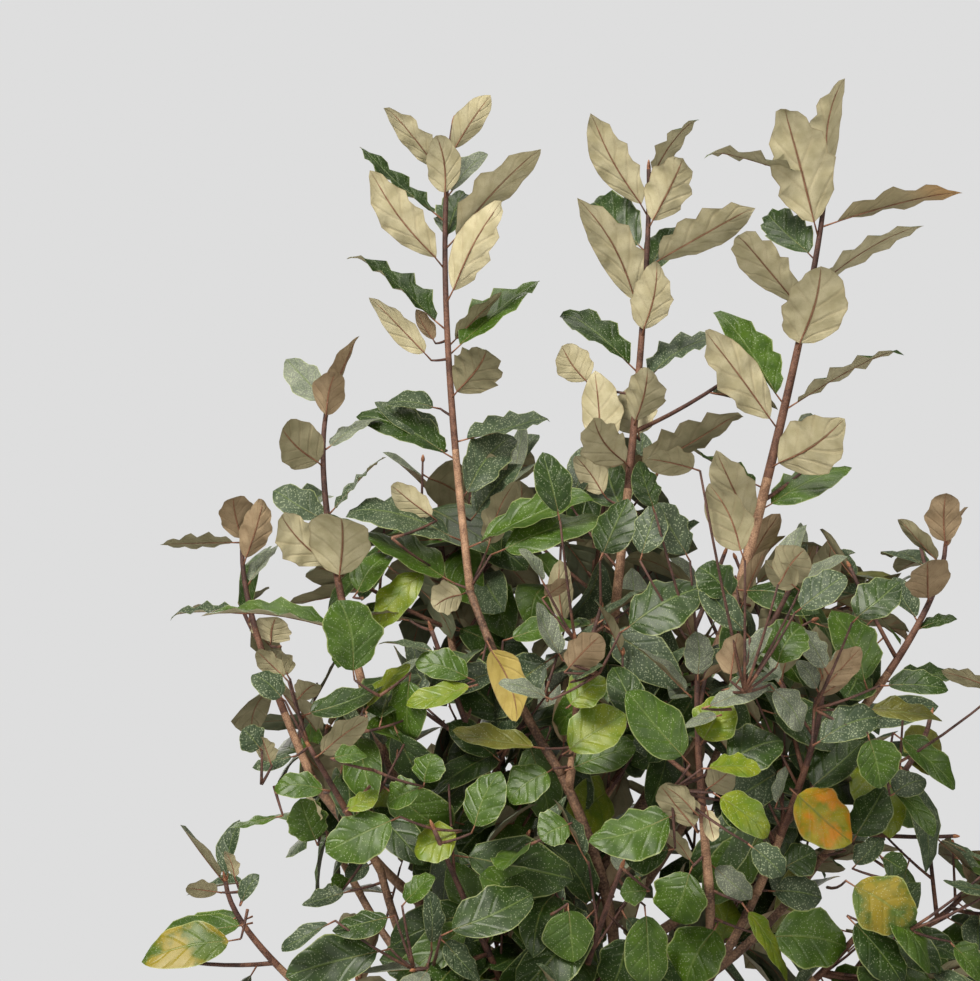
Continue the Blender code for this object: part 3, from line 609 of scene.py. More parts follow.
# Masses: the limb that carries it and how far up it, the tip of its stem, the bow of the
# stem, how many twigs the stem bears in the solid, how far they spread, the seed of its
# rule, and how many finer twigs it bears.
MASSES = {
    "mass_tall_left": ("bough_tall_left", 1.0, (-0.074, -0.02, 0.985), (0.004, 0.0, 0.0), 3, 0.08, 11, 4),
    "mass_tall_middle": ("bough_tall_middle", 1.0, (0.068, 0.01, 0.958),
                         (-0.014, 0.004, 0.0), 3, 0.085, 12, 4),
    "mass_tall_right": ("bough_tall_right", 1.0, (0.196, 0.0, 0.95), (0.0, 0.0, 0.01), 2, 0.07, 13, 3),
    "mass_left": ("bough_left", 1.0, (-0.161, -0.03, 0.79), (-0.012, 0.0, 0.0), 3, 0.075, 14, 6),
    "mass_outer_left": ("bough_outer_left", 1.0, (-0.226, 0.01, 0.688),
                        (-0.004, 0.0, 0.0), 4, 0.07, 15, 2),
    "mass_outer_right": ("bough_outer_right", 1.0, (0.28, 0.0, 0.684),
                         (0.012, 0.0, -0.01), 4, 0.075, 16, 5),
    "mass_middle_right": ("bough_middle_right", 1.0, (0.262, -0.045, 0.56),
                          (0.015, 0, -0.01), 5, 0.075, 39, 19),
    "mass_front": ("bough_front", 0.96, (0.01, -0.13, 0.612), (0.006, 0.0, 0.0), 4, 0.07, 17, 22),
    "mass_right_front": ("bough_right_front", 1.0, (0.092, -0.16, 0.6),
                         (-0.008, 0.0, 0.0), 5, 0.08, 18, 22),
    "mass_right": ("bough_right", 1.0, (0.178, -0.13, 0.585), (0.006, -0.01, 0.0), 5, 0.08, 19, 22),
    "mass_far_right": ("bough_far_right", 1.0, (0.3, 0.01, 0.45), (0.02, 0.0, -0.015), 4, 0.075, 20, 6),
    "mass_low_right": ("bough_low_right", 1.0, (0.226, -0.12, 0.455),
                       (0.02, -0.01, -0.01), 5, 0.08, 21, 19),
    "mass_lower_left": ("bough_lower_left", 1.0, (-0.17, -0.13, 0.54),
                        (-0.006, -0.01, 0.0), 5, 0.075, 22, 18),
    "mass_low_left": ("bough_low_left", 1.0, (-0.232, -0.055, 0.446),
                      (-0.012, 0.0, -0.01), 4, 0.08, 23, 1),
    "mass_inner_left": ("trunk", 0.9, (-0.088, -0.08, 0.62), (0.0, -0.015, -0.03), 5, 0.08, 24, 22),
    "mass_inner_right": ("trunk", 0.99, (0.125, 0.06, 0.68), (0.01, 0.015, -0.03), 5, 0.08, 25, 19),
    "mass_centre_right": ("bough_tall_right", 0.45, (0.165, -0.06, 0.655),
                          (0.01, -0.02, -0.01), 4, 0.07, 26, 22),
    "mass_back_left": ("bough_back_left", 1.0, (-0.085, 0.105, 0.735), (0.0, 0.01, 0.0), 6, 0.085, 27, 6),
    "mass_back_middle": ("bough_back_middle", 1.0, (0.03, 0.12, 0.755),
                         (0.0, 0.015, 0.0), 6, 0.085, 28, 6),
    "mass_back_right": ("bough_back_right", 1.0, (0.19, 0.13, 0.665), (0.01, 0.01, 0.0), 6, 0.085, 29, 6),
    "mass_rear_left": ("bough_rear_left", 1.0, (-0.19, 0.14, 0.56), (-0.015, 0.01, 0.0), 4, 0.085, 30, 3),
    "mass_rear_right": ("bough_rear_right", 1.0, (0.18, 0.185, 0.5),
                        (0.01, 0.015, -0.01), 4, 0.085, 31, 6),
    "mass_rear_low": ("bough_rear_low", 1.0, (-0.02, 0.205, 0.51), (0.0, 0.015, -0.01), 4, 0.085, 32, 6),
    "mass_front_left": ("trunk", 0.3, (-0.085, -0.155, 0.485), (0.01, -0.03, -0.03), 6, 0.08, 33, 24),
    "mass_front_middle": ("trunk", 0.4, (0.04, -0.165, 0.46), (-0.015, -0.02, -0.02), 5, 0.075, 34, 26),
    "mass_foot_front": ("trunk", 0.1, (0.005, -0.175, 0.36), (0.0, -0.02, -0.01), 6, 0.085, 35, 26),
    "mass_foot_left": ("trunk", 0.17, (-0.175, 0.05, 0.35), (-0.01, 0.01, -0.02), 5, 0.08, 36, 5),
    "mass_foot_right": ("trunk", 0.15, (0.15, 0.05, 0.315), (0.01, 0.01, -0.015), 5, 0.08, 37, 16),
    "mass_foot_back": ("trunk", 0.1, (0.01, 0.17, 0.325), (0.0, 0.02, -0.015), 5, 0.085, 38, 7),
}

# Leaves of the shoots that stand free of the crown, from the tip down: how far below the
# tip of the stem each one leaves it, the side it points to (0 is +X and 90 is +Y), its rise
# above level, both in degrees, and its length, as in the solid. Then its width as a share
# of its length, how squarely it faces the front (1 with its upper side, -1 with its
# underside), and the finish of the side that shows.
SET_LEAVES = {
    "mass_tall_left": (
        (0.022, 320, 45, 0.055, 0.40, -0.75, "cream"), (0.040, 210, 45, 0.072, 0.36, -0.60, "cream"),
        (0.052, 40, 45, 0.055, 0.40, 0.80, "silver"), (0.055, 250, 65, 0.052, 0.50, -0.95, "cream"),
        (0.070, 155, 40, 0.092, 0.38, 0.42, "shaded_deep"), (0.085, 70, 55, 0.060, 0.42, 0.80, "shaded_deep"),
        (0.090, 325, 38, 0.105, 0.38, -0.50, "cream"), (0.105, 215, 45, 0.092, 0.36, -0.85, "cream"),
        (0.130, 315, 50, 0.092, 0.38, -0.90, "cream"), (0.150, 160, 40, 0.100, 0.40, 0.55, "shaded_deep"),
        (0.168, 35, 40, 0.105, 0.38, 0.78, "green"), (0.200, 300, 30, 0.070, 0.52, -0.70, "beige"),
        (0.232, 20, 18, 0.078, 0.42, 0.50, "frosted"), (0.245, 165, 30, 0.085, 0.42, 0.60, "shaded_deep"),
        (0.275, 40, 45, 0.075, 0.48, 0.90, "frosted"), (0.305, 190, 20, 0.090, 0.44, 0.60, "frosted"),
        (0.310, 345, 22, 0.100, 0.42, 0.45, "green"),
    ),
    "mass_tall_middle": (
        (0.008, 325, 50, 0.062, 0.40, -0.65, "cream"), (0.035, 220, 52, 0.090, 0.38, -0.80, "cream"),
        (0.045, 305, 48, 0.070, 0.50, -0.95, "cream"), (0.062, 140, 42, 0.080, 0.46, 0.95, "shaded_deep"),
        (0.073, 330, 28, 0.098, 0.38, -0.55, "cream"), (0.080, 50, 45, 0.060, 0.42, 0.80, "shaded_deep"),
        (0.108, 225, 52, 0.107, 0.36, -0.75, "cream"), (0.125, 285, 55, 0.066, 0.46, -0.95, "cream"),
        (0.150, 150, 43, 0.085, 0.40, 0.60, "shaded_deep"), (0.160, 15, 38, 0.078, 0.40, 0.45, "frosted"),
        (0.190, 280, 40, 0.062, 0.52, -0.95, "cream"), (0.220, 240, 30, 0.070, 0.46, -0.80, "cream"),
        (0.225, 335, 27, 0.100, 0.40, -0.60, "beige"), (0.255, 100, 35, 0.080, 0.46, 0.70, "shaded_deep"),
    ),
    "mass_tall_right": (
        (0.004, 290, 72, 0.080, 0.38, -0.90, "cream"), (0.045, 235, 60, 0.110, 0.46, -0.95, "cream"),
        (0.004, 203, 12, 0.100, 0.36, 0.25, "silver"), (0.036, 345, 18, 0.107, 0.34, -0.35, "scorched"),
        (0.060, 130, 42, 0.072, 0.46, 0.80, "shaded_deep"), (0.083, 330, 32, 0.100, 0.36, -0.30, "cream"),
        (0.100, 220, 40, 0.092, 0.36, -0.65, "cream"), (0.130, 290, 55, 0.075, 0.62, -0.95, "cream"),
        (0.168, 140, 50, 0.098, 0.38, 0.65, "green"), (0.172, 335, 30, 0.102, 0.36, -0.25, "cream"),
        (0.187, 215, 45, 0.098, 0.38, -0.95, "cream"), (0.215, 305, 20, 0.085, 0.54, -0.80, "cream"),
        (0.230, 165, 28, 0.065, 0.46, 0.60, "shaded_deep"), (0.246, 20, 28, 0.086, 0.42, 0.80, "green"),
        (0.262, 240, 42, 0.080, 0.44, -0.95, "cream"),
    ),
    "mass_left": (
        (0.003, 330, 62, 0.050, 0.42, -0.70, "bronze"), (0.008, 140, 40, 0.055, 0.46, 0.95, "silver"),
        (0.022, 290, 50, 0.048, 0.56, -0.95, "bronze"), (0.043, 15, 35, 0.050, 0.46, 0.60, "silver"),
        (0.055, 230, 30, 0.052, 0.66, -0.90, "beige"), (0.090, 340, 45, 0.060, 0.40, 0.45, "frosted"),
        (0.095, 160, 30, 0.050, 0.56, 0.80, "frosted"), (0.130, 215, 40, 0.062, 0.50, -0.90, "cream"),
        (0.140, 275, 50, 0.070, 0.66, -0.95, "cream"), (0.173, 185, 10, 0.105, 0.38, 0.50, "green"),
    ),
    "mass_outer_left": (
        (0.002, 185, 2, 0.060, 0.38, -0.35, "beige"), (0.004, 255, 60, 0.045, 0.58, -0.90, "bronze"),
        (0.020, 300, 55, 0.060, 0.40, -0.85, "bronze"), (0.035, 40, 50, 0.045, 0.46, 0.60, "silver"),
        (0.055, 175, 2, 0.062, 0.40, 0.30, "frosted"),
    ),
    "mass_outer_right": (
        (0.003, 265, 65, 0.045, 0.60, -0.95, "bronze"), (0.004, 40, 55, 0.040, 0.50, -0.50, "bronze"),
        (0.015, 200, 42, 0.048, 0.40, -0.40, "beige"), (0.045, 260, 45, 0.050, 0.66, -0.95, "bronze"),
        (0.060, 120, 50, 0.045, 0.50, 0.70, "frosted"), (0.066, 350, 20, 0.032, 0.50, 0.50, "shaded_deep"),
        (0.110, 10, 5, 0.080, 0.46, 0.50, "shaded_deep"),
    ),
}

LEAF_SPACING = 0.017
LEAF_LENGTH = 0.078
LEAF_TIP_DROP = 0.002
LEAF_ANGLE = 58
LEAF_DROOP = 0.60
LEAF_OUTWARD = 0.35
LEAF_ROLL = 30
YOUNG_REACH = 0.06
FINE_YOUNG_REACH = 0.016
YOUNG_ANGLE = 32
YOUNG_LENGTH_SHARE = 0.68
YOUNG_SPACING_SHARE = 0.70
BARE_STEM_SHARE = 0.12
BARE_TWIG_SHARE = 0.22
LEAF_TURN_SLIP = 12
LEAF_ANGLE_SLIP = 10
LEAF_SIZES = (0.84, 1.12)

# The photograph's frame is 980 pixels wide, and this camera stands for the one that took it.
# At the plant a pixel is 0.72 mm.
PHOTO_WIDTH = 980
CAMERA_DISTANCE = 2.4
CAMERA_PLACE = Vector((-0.0475, -CAMERA_DISTANCE, 0.55))
CAMERA_AIM = Vector((-0.0475, 0.0, 0.723))
CAMERA_LENS = 122.8
SENSOR_WIDTH = 36.0
PIXEL = SENSOR_WIDTH / CAMERA_LENS / PHOTO_WIDTH
MILLIMETRES_A_PIXEL = 0.72
SIGHT = (CAMERA_AIM - CAMERA_PLACE).normalized()
SIGHT_UP = Vector((1.0, 0.0, 0.0)).cross(SIGHT)

# Open sky beside the crown and through it, in pixels of the photograph: boxes by their left,
# top, right and bottom, and discs by their column, row and radius. Above FREE_ROW only the
# listed leaves stand.
FREE_ROW = 330
SKY_BOXES = (
    (0, 0, 322, 486), (0, 486, 212, 532), (0, 556, 240, 600), (0, 622, 246, 662), (0, 684, 236, 812),
    (225, 790, 270, 812), (0, 832, 178, 916), (250, 832, 276, 866), (262, 866, 298, 935),
    (0, 966, 258, 981), (0, 916, 130, 945), (225, 655, 250, 700), (345, 330, 392, 384), (344, 482, 384, 524),
    (520, 330, 574, 420), (655, 330, 700, 440), (830, 330, 980, 486), (700, 330, 735, 380),
    (950, 486, 980, 660), (884, 486, 920, 516), (948, 692, 980, 742), (969, 742, 980, 836),
)
SKY_DISCS = (
    (283, 575, 13), (303, 640, 7), (396, 514, 10), (385, 575, 11), (372, 590, 7), (380, 665, 13),
    (375, 772, 9), (412, 755, 6), (362, 875, 9), (350, 867, 7), (395, 875, 8), (315, 915, 9),
    (302, 926, 7), (452, 905, 7), (540, 650, 8), (628, 590, 6), (664, 634, 7), (717, 550, 15),
    (706, 567, 7), (726, 566, 7), (710, 612, 8), (706, 628, 6), (610, 688, 6), (526, 512, 6),
    (870, 500, 28), (840, 500, 16), (875, 560, 9), (885, 650, 8), (945, 640, 14), (955, 800, 16),
    (966, 820, 13), (918, 850, 13), (926, 871, 11), (940, 900, 14), (935, 918, 9), (960, 905, 10),
    (680, 827, 8), (668, 838, 6), (712, 851, 7), (731, 850, 8), (617, 880, 8), (622, 920, 5),
    (527, 935, 7), (828, 894, 7), (838, 889, 5), (600, 340, 14), (420, 395, 10), (505, 400, 14),
    (760, 470, 10), (820, 420, 10), (560, 440, 8), (690, 470, 8), (905, 610, 9), (430, 470, 10),
)

# Leaves that show from the front, in the same pixels: the column and row of each leaf's root
# and tip. Then its width as it shows, in the same pixels, how squarely it faces the front and
# the finish of the side that shows, as above. Leaves that stand in shade take the deep green
# finish, which is partly painted shade.
SEEN_LEAVES = (
    (564, 672, 600, 630, 34, -0.85, "bronze"), (563, 660, 536, 602, 24, 0.85, "silver"),
    (570, 682, 602, 658, 16, 0.5, "frosted"), (552, 699, 500, 675, 14, 0.5, "silver"),
    (566, 708, 604, 674, 34, 0.85, "fresh"), (487, 640, 526, 720, 36, -0.75, "golden"),
    (478, 684, 404, 700, 22, 0.7, "fresh"), (562, 754, 625, 712, 44, 0.85, "fresh"),
    (565, 770, 636, 745, 34, 0.75, "green"), (545, 748, 452, 731, 20, 0.6, "olive"),
    (553, 768, 507, 800, 40, 0.9, "green"), (690, 764, 627, 690, 48, 0.85, "green"),
    (698, 680, 697, 630, 28, 0.95, "silver"), (692, 697, 638, 646, 13, 0.4, "silver"),
    (730, 680, 736, 630, 29, -0.95, "bronze"), (735, 685, 772, 626, 24, 0.85, "silver"),
    (698, 682, 745, 653, 11, -0.4, "bronze"), (702, 708, 768, 683, 14, 0.5, "silver"),
    (770, 684, 806, 729, 32, 0.85, "silver"), (722, 690, 778, 671, 14, 0.5, "frosted"),
    (722, 714, 678, 726, 14, 0.6, "silver"), (700, 745, 727, 695, 44, 0.9, "fresh"),
    (829, 674, 796, 620, 26, 0.9, "silver"), (819, 692, 799, 658, 20, 0.85, "silver"),
    (822, 690, 858, 643, 26, -0.85, "bronze"), (815, 698, 856, 668, 22, -0.85, "bronze"),
    (812, 745, 878, 708, 28, 0.7, "frosted"), (790, 788, 853, 842, 58, 0.95, "turning"),
    (713, 792, 777, 832, 34, 0.85, "fresh"), (702, 768, 762, 765, 14, 0.4, "fresh"),
    (699, 815, 664, 784, 16, -0.7, "beige"), (706, 805, 718, 842, 16, -0.85, "cream"),
    (705, 790, 732, 766, 34, -0.9, "beige"), (698, 832, 662, 778, 30, -0.85, "beige"),
    (680, 813, 588, 840, 46, 0.85, "green"), (572, 822, 540, 838, 36, 0.9, "green"),
    (471, 833, 500, 770, 40, 0.9, "green"), (462, 830, 411, 848, 40, 0.9, "fresh"),
    (692, 866, 668, 922, 54, 0.95, "green"), (742, 902, 797, 978, 22, 0.6, "fresh"),
    (710, 863, 755, 897, 24, 0.85, "silver"), (846, 880, 916, 926, 54, 0.95, "flecked"),
    (568, 903, 574, 962, 46, 0.95, "green"), (441, 935, 532, 888, 50, 0.9, "shaded_deep"),
    (440, 937, 483, 978, 26, 0.7, "frosted"), (718, 922, 685, 985, 56, 0.9, "green"),
    (764, 935, 851, 943, 54, 0.9, "green"), (675, 848, 621, 856, 32, 0.85, "shaded_deep"),
    (650, 890, 620, 893, 24, 0.85, "green"), (645, 905, 655, 990, 40, 0.85, "green"),
    (628, 932, 610, 990, 44, 0.9, "shaded_deep"), (847, 915, 912, 982, 34, 0.8, "shaded_deep"),
    (885, 905, 942, 968, 34, 0.75, "green"), (950, 941, 985, 980, 32, 0.8, "green"),
    (768, 890, 824, 893, 34, 0.8, "frosted"), (782, 868, 815, 850, 32, 0.9, "shaded_deep"),
    (748, 843, 788, 873, 26, 0.8, "frosted"), (846, 850, 827, 835, 14, 0.7, "silver"),
    (852, 868, 880, 835, 26, 0.75, "frosted"), (880, 855, 906, 870, 24, 0.8, "shaded_deep"),
    (852, 842, 884, 785, 38, 0.85, "shaded_deep"), (720, 800, 755, 830, 36, 0.85, "shaded_deep"),
    (775, 808, 787, 762, 14, 0.7, "silver"), (694, 864, 662, 822, 12, -0.4, "beige"),
    (806, 792, 863, 738, 46, 0.85, "shaded_deep"), (868, 733, 882, 788, 44, 0.9, "green"),
    (893, 732, 966, 784, 30, 0.8, "green"), (890, 795, 926, 775, 26, 0.75, "frosted"),
    (888, 783, 941, 832, 14, 0.5, "green"), (862, 708, 945, 715, 30, 0.7, "olive"),
    (880, 685, 950, 682, 24, 0.6, "shaded_deep"), (722, 765, 784, 735, 46, 0.85, "shaded_deep"),
    (868, 690, 838, 605, 44, 0.85, "green"), (750, 637, 703, 577, 34, 0.9, "frosted"),
    (778, 584, 803, 548, 40, -0.85, "beige"), (795, 612, 845, 572, 34, 0.85, "frosted"),
    (852, 622, 898, 575, 38, 0.85, "shaded_deep"), (775, 668, 800, 620, 40, 0.85, "green"),
    (620, 632, 700, 580, 48, 0.85, "shaded_deep"), (1000, 690, 942, 667, 12, -0.5, "beige"),
    (992, 866, 942, 838, 8, 0.4, "frosted"), (992, 892, 943, 880, 14, 0.5, "frosted"),
    (491, 554, 607, 508, 40, 0.85, "green"), (455, 583, 361, 530, 38, 0.65, "green"),
    (430, 565, 372, 625, 30, 0.85, "fresh"), (466, 592, 430, 606, 30, -0.9, "cream"),
    (486, 552, 512, 478, 32, -0.9, "beige"), (545, 585, 524, 543, 13, 0.5, "silver"),
    (542, 598, 569, 577, 14, -0.6, "bronze"), (503, 640, 580, 616, 30, 0.8, "green"),
    (475, 680, 415, 655, 28, 0.8, "green"), (500, 760, 450, 715, 28, 0.8, "shaded_deep"),
    (410, 672, 403, 743, 40, 0.85, "green"), (432, 360, 372, 294, 28, -0.8, "cream"),
    (436, 343, 417, 308, 16, -0.8, "bronze"), (449, 345, 501, 291, 20, -0.6, "beige"),
    (440, 408, 384, 396, 24, 0.7, "frosted"), (447, 450, 376, 396, 34, 0.8, "frosted"),
    (470, 520, 520, 462, 40, 0.85, "frosted"), (437, 520, 392, 480, 24, -0.8, "cream"),
    (478, 470, 508, 462, 22, -0.7, "beige"), (601, 453, 596, 370, 42, -0.9, "cream"),
    (590, 385, 562, 345, 34, -0.85, "cream"), (640, 440, 632, 385, 44, -0.9, "cream"),
    (607, 498, 575, 455, 34, -0.9, "cream"), (655, 512, 640, 460, 30, 0.85, "shaded_deep"),
    (700, 470, 645, 450, 26, -0.6, "beige"), (745, 560, 712, 480, 40, -0.9, "beige"),
    (800, 590, 765, 560, 28, -0.8, "beige"), (640, 560, 655, 502, 26, 0.8, "frosted"),
    (600, 560, 628, 498, 40, 0.85, "shaded_deep"), (560, 520, 545, 450, 34, 0.85, "shaded_deep"),
    (690, 560, 660, 500, 36, 0.85, "frosted"), (735, 600, 700, 560, 36, 0.85, "shaded_deep"),
    (353, 597, 392, 545, 38, 0.85, "green"), (355, 680, 340, 598, 54, 0.9, "green"),
    (315, 757, 368, 718, 26, -0.85, "beige"), (330, 758, 367, 752, 22, 0.8, "green"),
    (300, 716, 385, 683, 34, 0.8, "shaded_deep"), (362, 713, 405, 657, 13, 0.45, "fresh"),
    (285, 700, 253, 670, 28, 0.85, "frosted"), (288, 680, 258, 645, 20, -0.85, "beige"),
    (290, 678, 272, 645, 26, -0.85, "beige"), (270, 645, 276, 616, 46, -0.95, "cream"),
    (296, 700, 318, 680, 26, -0.9, "beige"), (262, 750, 243, 728, 26, 0.85, "frosted"),
    (272, 765, 262, 735, 24, -0.9, "beige"), (297, 755, 251, 763, 12, 0.5, "frosted"),
    (330, 790, 271, 783, 24, 0.8, "green"), (410, 620, 356, 608, 13, -0.5, "beige"),
    (440, 652, 378, 640, 14, 0.5, "frosted"), (400, 816, 324, 850, 44, 0.9, "green"),
    (318, 845, 300, 798, 38, 0.9, "green"), (313, 830, 310, 795, 26, -0.95, "cream"),
    (283, 815, 229, 827, 10, 0.4, "green"), (350, 890, 302, 905, 24, 0.8, "frosted"),
    (335, 920, 277, 946, 15, 0.6, "frosted"), (395, 915, 332, 930, 26, 0.8, "shaded_deep"),
    (390, 948, 285, 975, 44, 0.9, "shaded_deep"), (340, 893, 338, 872, 16, 0.8, "green"),
    (372, 862, 345, 880, 24, 0.8, "frosted"), (402, 905, 430, 870, 24, 0.8, "green"),
    (432, 950, 430, 885, 20, 0.85, "frosted"), (343, 812, 378, 790, 16, 0.7, "fresh"),
    (423, 786, 385, 800, 34, 0.8, "green"), (423, 786, 433, 752, 30, 0.8, "green"),
    (241, 938, 139, 958, 44, 0.9, "flecked"), (222, 892, 185, 884, 18, -0.7, "beige"),
    (236, 880, 228, 848, 14, -0.7, "beige"), (240, 905, 256, 872, 14, 0.7, "frosted"),
)

# Finer growth: how far past the solid's skin it reaches, out in the open and inside the
# crown, the pitch of the spurs along a bough, and how much a grown leaf hangs.
REACH_PAST_SKIN = 0.024
REACH_INSIDE = 0.060
SPUR_PITCH = 0.014
FEWEST_LEAVES = 2
SHOWN_STEMS = ("mass_left", "mass_tall_left", "mass_right_front", "mass_front", "bough_front",
               "bough_right_front", "mass_low_left", "mass_outer_left")
SHOWN_STEM_HALF = 0.002
HANG = (0.10, 0.80)
LIGHT = 1.0
TO_LIGHT = Vector((0.0, -0.70, 0.9))
UPRIGHT_YOUTH = 0.6

# The card that stands for a leaf when crossings are looked for: where its corners lie along
# the leaf, how far it narrows, and its width as a share of the leaf's length.
CARD_RUNS = (0.15, 0.42, 0.72, 1.0)
CARD_NARROWING = 0.8
WIDE_CARD = 0.28
SLIM_CARD = 0.22

# How much of a leaf counts as shown, and when one hides what shows behind it.
SET_SHOWN_HALF = 0.35
SEEN_SHOWN_HALF = 0.8
HIDING_DEPTH = 0.006
LEAF_EDGE_HALF = 0.22
LEAF_MIDDLE_HALF = 0.09


def outward(axis, turn, spread):
    """A direction that leaves an axis by the angle spread, turned about it."""
    across = axis.orthogonal().normalized()
    across.rotate(Matrix.Rotation(turn, 3, axis))
    return (axis * math.cos(spread) + across * math.sin(spread)).normalized()


def compass(side, rise):
    """A direction from the side it points to and its rise above level, in degrees."""
    turn, lift = math.radians(side), math.radians(rise)
    return Vector((math.cos(turn) * math.cos(lift), math.sin(turn) * math.cos(lift), math.sin(lift)))


def sighted(column, row, depth):
    """The place that a pixel of the photograph shows at a depth along Y."""
    ray = SIGHT + SIGHT_UP * ((PHOTO_WIDTH / 2 - row) * PIXEL)
    ray.x += (column - PHOTO_WIDTH / 2) * PIXEL
    return CAMERA_PLACE + ray * ((depth - CAMERA_PLACE.y) / ray.y)


def in_photo(point):
    """The column and row at which the photograph shows a place."""
    ray = point - CAMERA_PLACE
    ahead = ray.dot(SIGHT) * PIXEL
    return PHOTO_WIDTH / 2 + ray.x / ahead, PHOTO_WIDTH / 2 - ray.dot(SIGHT_UP) / ahead


def in_sky(point):
    """True where the photograph shows open sky at a place."""
    column, row = in_photo(point)
    return row < FREE_ROW or any(
        left < column < right and top < row < bottom for left, top, right, bottom in SKY_BOXES) or any(
        math.hypot(column - x, row - y) < radius for x, y, radius in SKY_DISCS)


def skin_of(nodes):
    """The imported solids' skin, to ask where the source's own rule put a twig or leaf."""
    verts, faces = [], []
    for node in nodes:
        mesh = frame["nodes"][node].data
        faces += [[index + len(verts) for index in face.vertices] for face in mesh.polygons]
        verts += [vert.co for vert in mesh.vertices]
    return BVHTree.FromPolygons(verts, faces)


def on_skin(skin, points):
    """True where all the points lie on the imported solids' skin."""
    return all(skin.find_nearest(point)[3] < SKIN_SLACK for point in points)


def stem_line(name):
    """The axis of a mass's stem, from inside its bough's tip or from the limb's axis."""
    carrier, share, tip, bow = MASSES[name][:4]
    start, heading = along(limbs[carrier][0], share)
    tip, bow = Vector(tip), Vector(bow)
    first = STEM_FORK_RADIUS
    if share == 1.0:
        start = start - heading * STEM_OVERLAP
        first = limbs[carrier][1][1] * STEM_START_SHARE
        bow = bow + heading * (tip - start).length * STEM_FOLLOW
    steps = STEM_STEPS if (tip - start).length > LONG_STEM else SHORT_STEM_STEPS
    return bend(start, tip, bow, steps), bend(start, tip, bow, SMOOTH_STEPS), first


def source_twigs(line, count, spread, dice, skin):
    """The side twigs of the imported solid, by the same rule and the same draws."""
    twigs = []
    turn = dice.uniform(0.0, math.tau)
    for i in range(count):
        share = TWIG_FIRST + TWIG_REACH * (i + dice.uniform(*TWIG_SLIP)) / count
        start, axis = along(line, share)
        turn += GOLDEN_ANGLE
        heading = outward(axis, turn, math.radians(dice.uniform(*TWIG_ANGLES)))
        length = spread * (TWIG_SPREAD - TWIG_TAPER * share) * dice.uniform(*TWIG_LENGTHS)
        tip = start + heading * length + Vector((0.0, 0.0, TWIG_LIFT * length))
        probes = [start.lerp(tip, 0.5), start.lerp(tip, 0.8), tip]
        if tip.z > LEAF_FLOOR + TWIG_HEADROOM and on_skin(skin, probes):
            twigs.append([start, tip])
    return twigs


def leaf_sites(line, free, dice, on_twig, spacing=LEAF_SPACING, young_reach=YOUNG_REACH):
    """Root, heading, roll, length and youth of each leaf along a stem or twig, by the rule."""
    length = run_of(line)
    bare = (BARE_TWIG_SHARE if on_twig else BARE_STEM_SHARE) * length
    sites = []
    turn = dice.uniform(0.0, math.tau)
    run = length
    while run > bare:
        young = max(0.0, 1.0 - (length - run) / young_reach)
        grown = 1.0 - young
        root, axis = along(line, (run - LEAF_TIP_DROP) / length)
        turn += GOLDEN_ANGLE + math.radians(dice.uniform(-LEAF_TURN_SLIP, LEAF_TURN_SLIP))
        angle = LEAF_ANGLE * grown + YOUNG_ANGLE * young
        angle += dice.uniform(-LEAF_ANGLE_SLIP, LEAF_ANGLE_SLIP)
        heading = outward(axis, turn, math.radians(angle))
        lean = Vector((root.x, root.y, 0.0)).normalized() * LEAF_OUTWARD
        lean.z = -LEAF_DROOP
        heading = (heading + lean * grown).normalized()
        roll = math.radians(dice.uniform(-LEAF_ROLL, LEAF_ROLL))
        size = LEAF_LENGTH * (grown + YOUNG_LENGTH_SHARE * young) * dice.uniform(*LEAF_SIZES)
        if length - run >= free:
            sites.append((root, heading, roll, size, young))
        run -= spacing * (grown + YOUNG_SPACING_SHARE * young)
    return sites


def leaf_axes(heading, roll):
    """Across and up for a leaf that points along its heading, its upper side up."""
    side = Vector((0.0, 0.0, 1.0)).cross(heading)
    if side.length < 0.05:
        side = Vector((1.0, 0.0, 0.0))
    side = Matrix.Rotation(roll, 3, heading) @ side.normalized()
    return side, heading.cross(side)


def facing_axes(heading, facing):
    """The same for a leaf turned until its upper side faces -Y by the share asked for."""
    side, top = leaf_axes(heading, 0.0)
    most = math.hypot(top.y, side.y)
    square = math.atan2(-side.y, top.y)
    off = math.acos(max(-1.0, min(1.0, -facing / most)))
    rolls = [(square + sign * off + math.pi) % math.tau - math.pi for sign in (-1, 1)]
    return leaf_axes(heading, min(rolls, key=abs))


def lit_axes(root, heading, roll):
    """The same for a grown leaf, whose stalk turns its upper side outward and up."""
    light = Vector((root.x, root.y, 0.0)).normalized() * LIGHT + TO_LIGHT
    top = (light - heading * light.dot(heading)).normalized()
    side = Matrix.Rotation(roll, 3, heading) @ top.cross(heading)
    return side, heading.cross(side)


class Leaf:
    """Where a leaf stands, how it is turned, and what it is."""

    def __init__(self, root, heading, axes, size, young, spray):
        self.root, self.heading, self.size = root, heading, size
        self.side, self.top = axes
        self.young, self.spray = young, spray
        self.width = self.finish = None
        self.seen = False

    def card(self, share):
        """A flat card of the leaf's outline, to tell if it would cross something."""
        half = self.side * self.size * share / 2
        foot, low, high, tip = [self.root + self.heading * self.size * run for run in CARD_RUNS]
        verts = [foot, low + half, low - half, high + half * CARD_NARROWING,
                 high - half * CARD_NARROWING, tip]
        return BVHTree.FromPolygons(verts, [(0, 1, 2), (1, 3, 4, 2), (3, 5, 4)])


# The cards of all leaves so far, by the 60 mm cell that each one's middle lies in.
CELL = 0.06
crowd = {}


def cell_of(leaf):
    """The cell that the middle of a leaf lies in."""
    return [int(part // CELL) for part in leaf.root + leaf.heading * leaf.size / 2]


